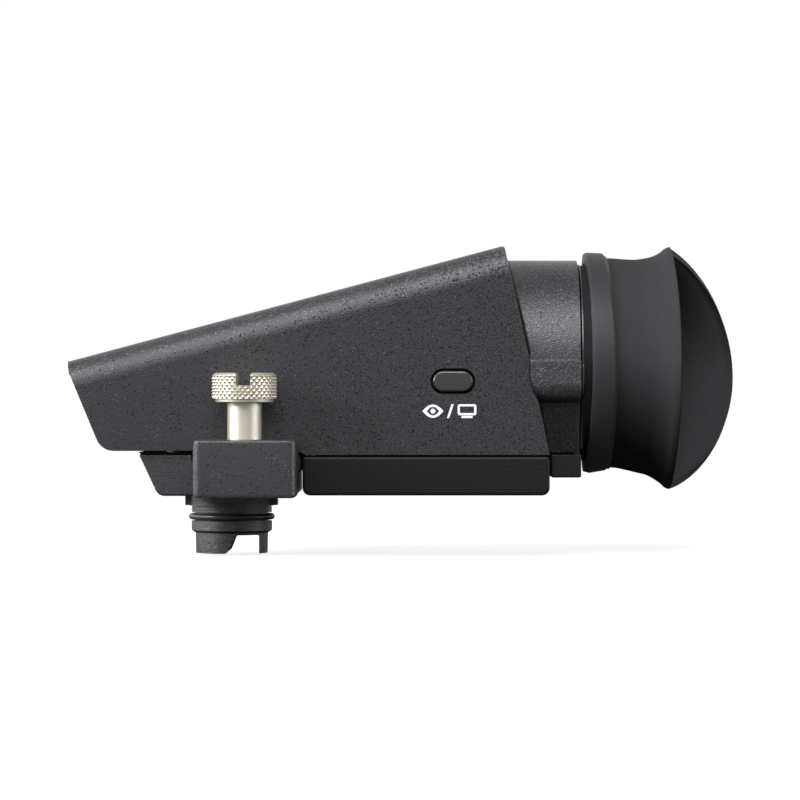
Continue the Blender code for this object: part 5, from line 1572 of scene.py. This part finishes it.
def build_pictogram():
    """A plain eye and a plain screen with a stroke between them, flat on the casing's side."""
    half = print_height / 2
    stroke = print_stroke / 2
    low, high = print_middle_height - half, print_middle_height + half
    eye = (print_back - 1.25 * print_height, print_middle_height)
    eye_length, eye_height, pupil_radius = 1.5 * half, 0.95 * half, 0.36 * half
    eye_end_stroke = 1.9 * print_stroke
    screen_back = print_back + 1.2 * print_height
    screen_length, screen_height, stand_length = 1.35 * half, 0.8 * half, 0.8 * half
    body = (screen_back, print_middle_height + half - screen_height)
    stand = (screen_back, print_middle_height - half + stroke)
    lean = half / 3
    flat = flat_curve("side_print", [
        eye_loop(eye, eye_length, eye_height),
        eye_loop(eye, eye_length - eye_end_stroke, eye_height - print_stroke),
        round_loop(eye, pupil_radius),
        [(print_back - lean - stroke, low), (print_back - lean + stroke, low),
         (print_back + lean + stroke, high), (print_back + lean - stroke, high)],
        box_loop(body, screen_length, screen_height, print_stroke),
        box_loop(body, screen_length - print_stroke, screen_height - print_stroke,
                 print_stroke / 3),
        box_loop(stand, stand_length, stroke, stroke / 2),
    ], print_lift)
    flat.rotation_euler = (math.pi / 2, 0, 0)
    flat.location = (0, -casing_half_width - print_lift / 2, 0)
    return flat


# The pieces: how each is built, its name, its body, the CAD nodes it stands for and its slot,
# then a finish other than the slot's, and an angle other than the usual one for sharp edges


for build, *facts in (
    (build_upper_casing, "upper_casing_shell", "casing", ["upper_casing"], "textured_paint"),
    (build_mount_foot, "mount_foot_block", "casing", ["mount_foot"], "textured_paint",
     "foot_paint"),
    (build_rear_housing, "rear_housing_shell", "casing", ["rear_housing"], "textured_paint",
     "housing_paint"),
    (build_bottom_cover, "bottom_cover_tray", "casing", ["bottom_cover"], "cover_plastic"),
    (build_rear_lower_cover, "rear_lower_cover_block", "casing", ["rear_lower_cover"],
     "cover_plastic"),
    (build_eyepiece_plate, "eyepiece_plate_trim", "casing", ["eyepiece_plate"],
     "anodised_plate"),
    # The neck's black is painted shade in the gap round the collar
    (build_eyepiece_neck, "eyepiece_neck", "casing", [], "inner_black"),
    (build_eyecup_collar, "eyecup_collar_ring", "eyecup", ["eyecup_collar"], "collar_plastic"),
    (build_soft_cup, "eyecup_rubber", "eyecup", ["eyecup"], "soft_rubber", None,
     cup_sharp_angle),
    (build_button, "button_key", "button", ["button_cap"], "button_plastic"),
    (build_button_flange, "button_flange", "button", [], "inner_black"),
    # The sleeve in the button's hole is painted shade
    (build_button_shade_sleeve, "button_well", "casing", [], "inner_black"),
    (build_dioptre_dial, "dioptre_dial_knob", "dioptre_dial", ["dioptre_dial"],
     "button_plastic"),
    (build_knurled_screw, "thumbscrew_knurled", "thumbscrew", ["thumbscrew"], "satin_nickel",
     None, knurl_sharp_angle),
    (build_plug, "plug_body", "casing", ["plug_barrel"], "plug_plastic"),
    (build_seal_ring, "plug_o_ring", "casing", ["plug_seal_ring"], "seal_rubber"),
    (build_pictogram, "side_pictogram", "casing", [], "textured_paint", "white_print"),
):
    finish_piece(build(), *facts)

for part in frame["record"]["subparts"]:
    item = frame["nodes"][part["node"]]
    item.data.materials.clear()
    item.data.materials.append(finishes[part["material_slot"]])


# Stage, lamps and camera


def seen_directly(tree, seen, mirrored, otherwise):
    """One value for camera rays, also through glass, one for mirrored rays, one for others."""
    path = node(tree, 'ShaderNodeLightPath').outputs
    direct = calc(tree, 'ADD', path["Is Camera Ray"], path["Is Transmission Ray"], clamp=True)
    indirect = {0: path["Is Glossy Ray"], 2: otherwise, 3: mirrored}
    soft = node(tree, 'ShaderNodeMix', indirect).outputs[0]
    return node(tree, 'ShaderNodeMix', {0: direct, 2: soft, 3: seen}).outputs[0]


def build_world():
    """A room that is plain white where it is seen.

    Where it is mirrored, it is dimmer low down, overhead and in front.
    """
    world = bpy.data.worlds.new("studio")
    bpy.context.scene.world = world
    world.use_nodes = True
    tree = world.node_tree
    _, depth, rise = split(tree, shader_vector(tree, "Generated"))
    wall = ramp(tree, rise, *low_band, mirrored_below, 1.0)
    roof = ramp(tree, rise, *high_band, 1.0, mirrored_above)
    front = ramp(tree, depth, *front_band, mirrored_in_front, 1.0)
    mirrored = calc(tree, 'MULTIPLY', calc(tree, 'MULTIPLY', wall, roof), front)
    fill(tree.nodes["Background"], {
        "Color": white, "Strength": seen_directly(tree, 1.0, mirrored, world_fill),
    })


def floor_material():
    """Pale where it is seen, dim where it would throw light back up, and clear at its edge."""
    material = bpy.data.materials.new("pale_floor")
    material.use_nodes = True
    tree = material.node_tree
    reach = node(tree, 'ShaderNodeVectorMath', {0: shader_vector(tree)}, operation='LENGTH')
    fade = ramp(tree, reach.outputs["Value"], *floor_fade, 1.0, 0.0,
                interpolation_type='SMOOTHSTEP')
    tone = seen_directly(tree, floor_colour, floor_mirrored, floor_bounce)
    fill(tree.nodes["Principled BSDF"], {
        "Alpha": fade, "Base Color": blend_colours(tree, tone, (0, 0, 0), (1, 1, 1)),
        "Roughness": floor_roughness, "Specular IOR Level": 0.0, "Emission Color": white,
        "Emission Strength": seen_directly(tree, floor_glow, 0.0, 0.0),
    })
    return material


def build_floor():
    """A pale round floor under the plug, which fades out before its edge shows."""
    form = bmesh.new()
    bmesh.ops.create_circle(form, cap_ends=True, segments=large_sides, radius=floor_radius)
    floor = place_form("floor", form)
    floor.data.materials.append(floor_material())
    floor.location = (*floor_centre, floor_height)


def build_lamp(name, place_at, size, power):
    """A rectangular lamp that faces the view's centre."""
    lamp = bpy.data.lights.new(name, 'AREA')
    lamp.shape = 'RECTANGLE'
    lamp.size, lamp.size_y = size
    lamp.energy = power
    lamp.color = lamp_colour
    item = bpy.data.objects.new(name, lamp)
    bpy.context.scene.collection.objects.link(item)
    item.location = place_at
    aim = Vector(view_centre) - Vector(place_at)
    item.rotation_euler = aim.to_track_quat('-Z', 'Y').to_euler()


def build_camera():
    """The camera of the photo, level and square to the side."""
    camera = bpy.data.cameras.new("camera")
    camera.angle = view_angle
    camera.clip_start = nearest_view
    item = bpy.data.objects.new("camera", camera)
    bpy.context.scene.collection.objects.link(item)
    item.location = Vector(view_centre) - Vector((0, camera_distance, 0))
    item.rotation_euler = (math.pi / 2, 0, 0)
    bpy.context.scene.camera = item


build_world()
build_floor()
for lamp in lamps:
    build_lamp(*lamp)
build_camera()
bpy.context.scene.view_settings.view_transform = 'Standard'
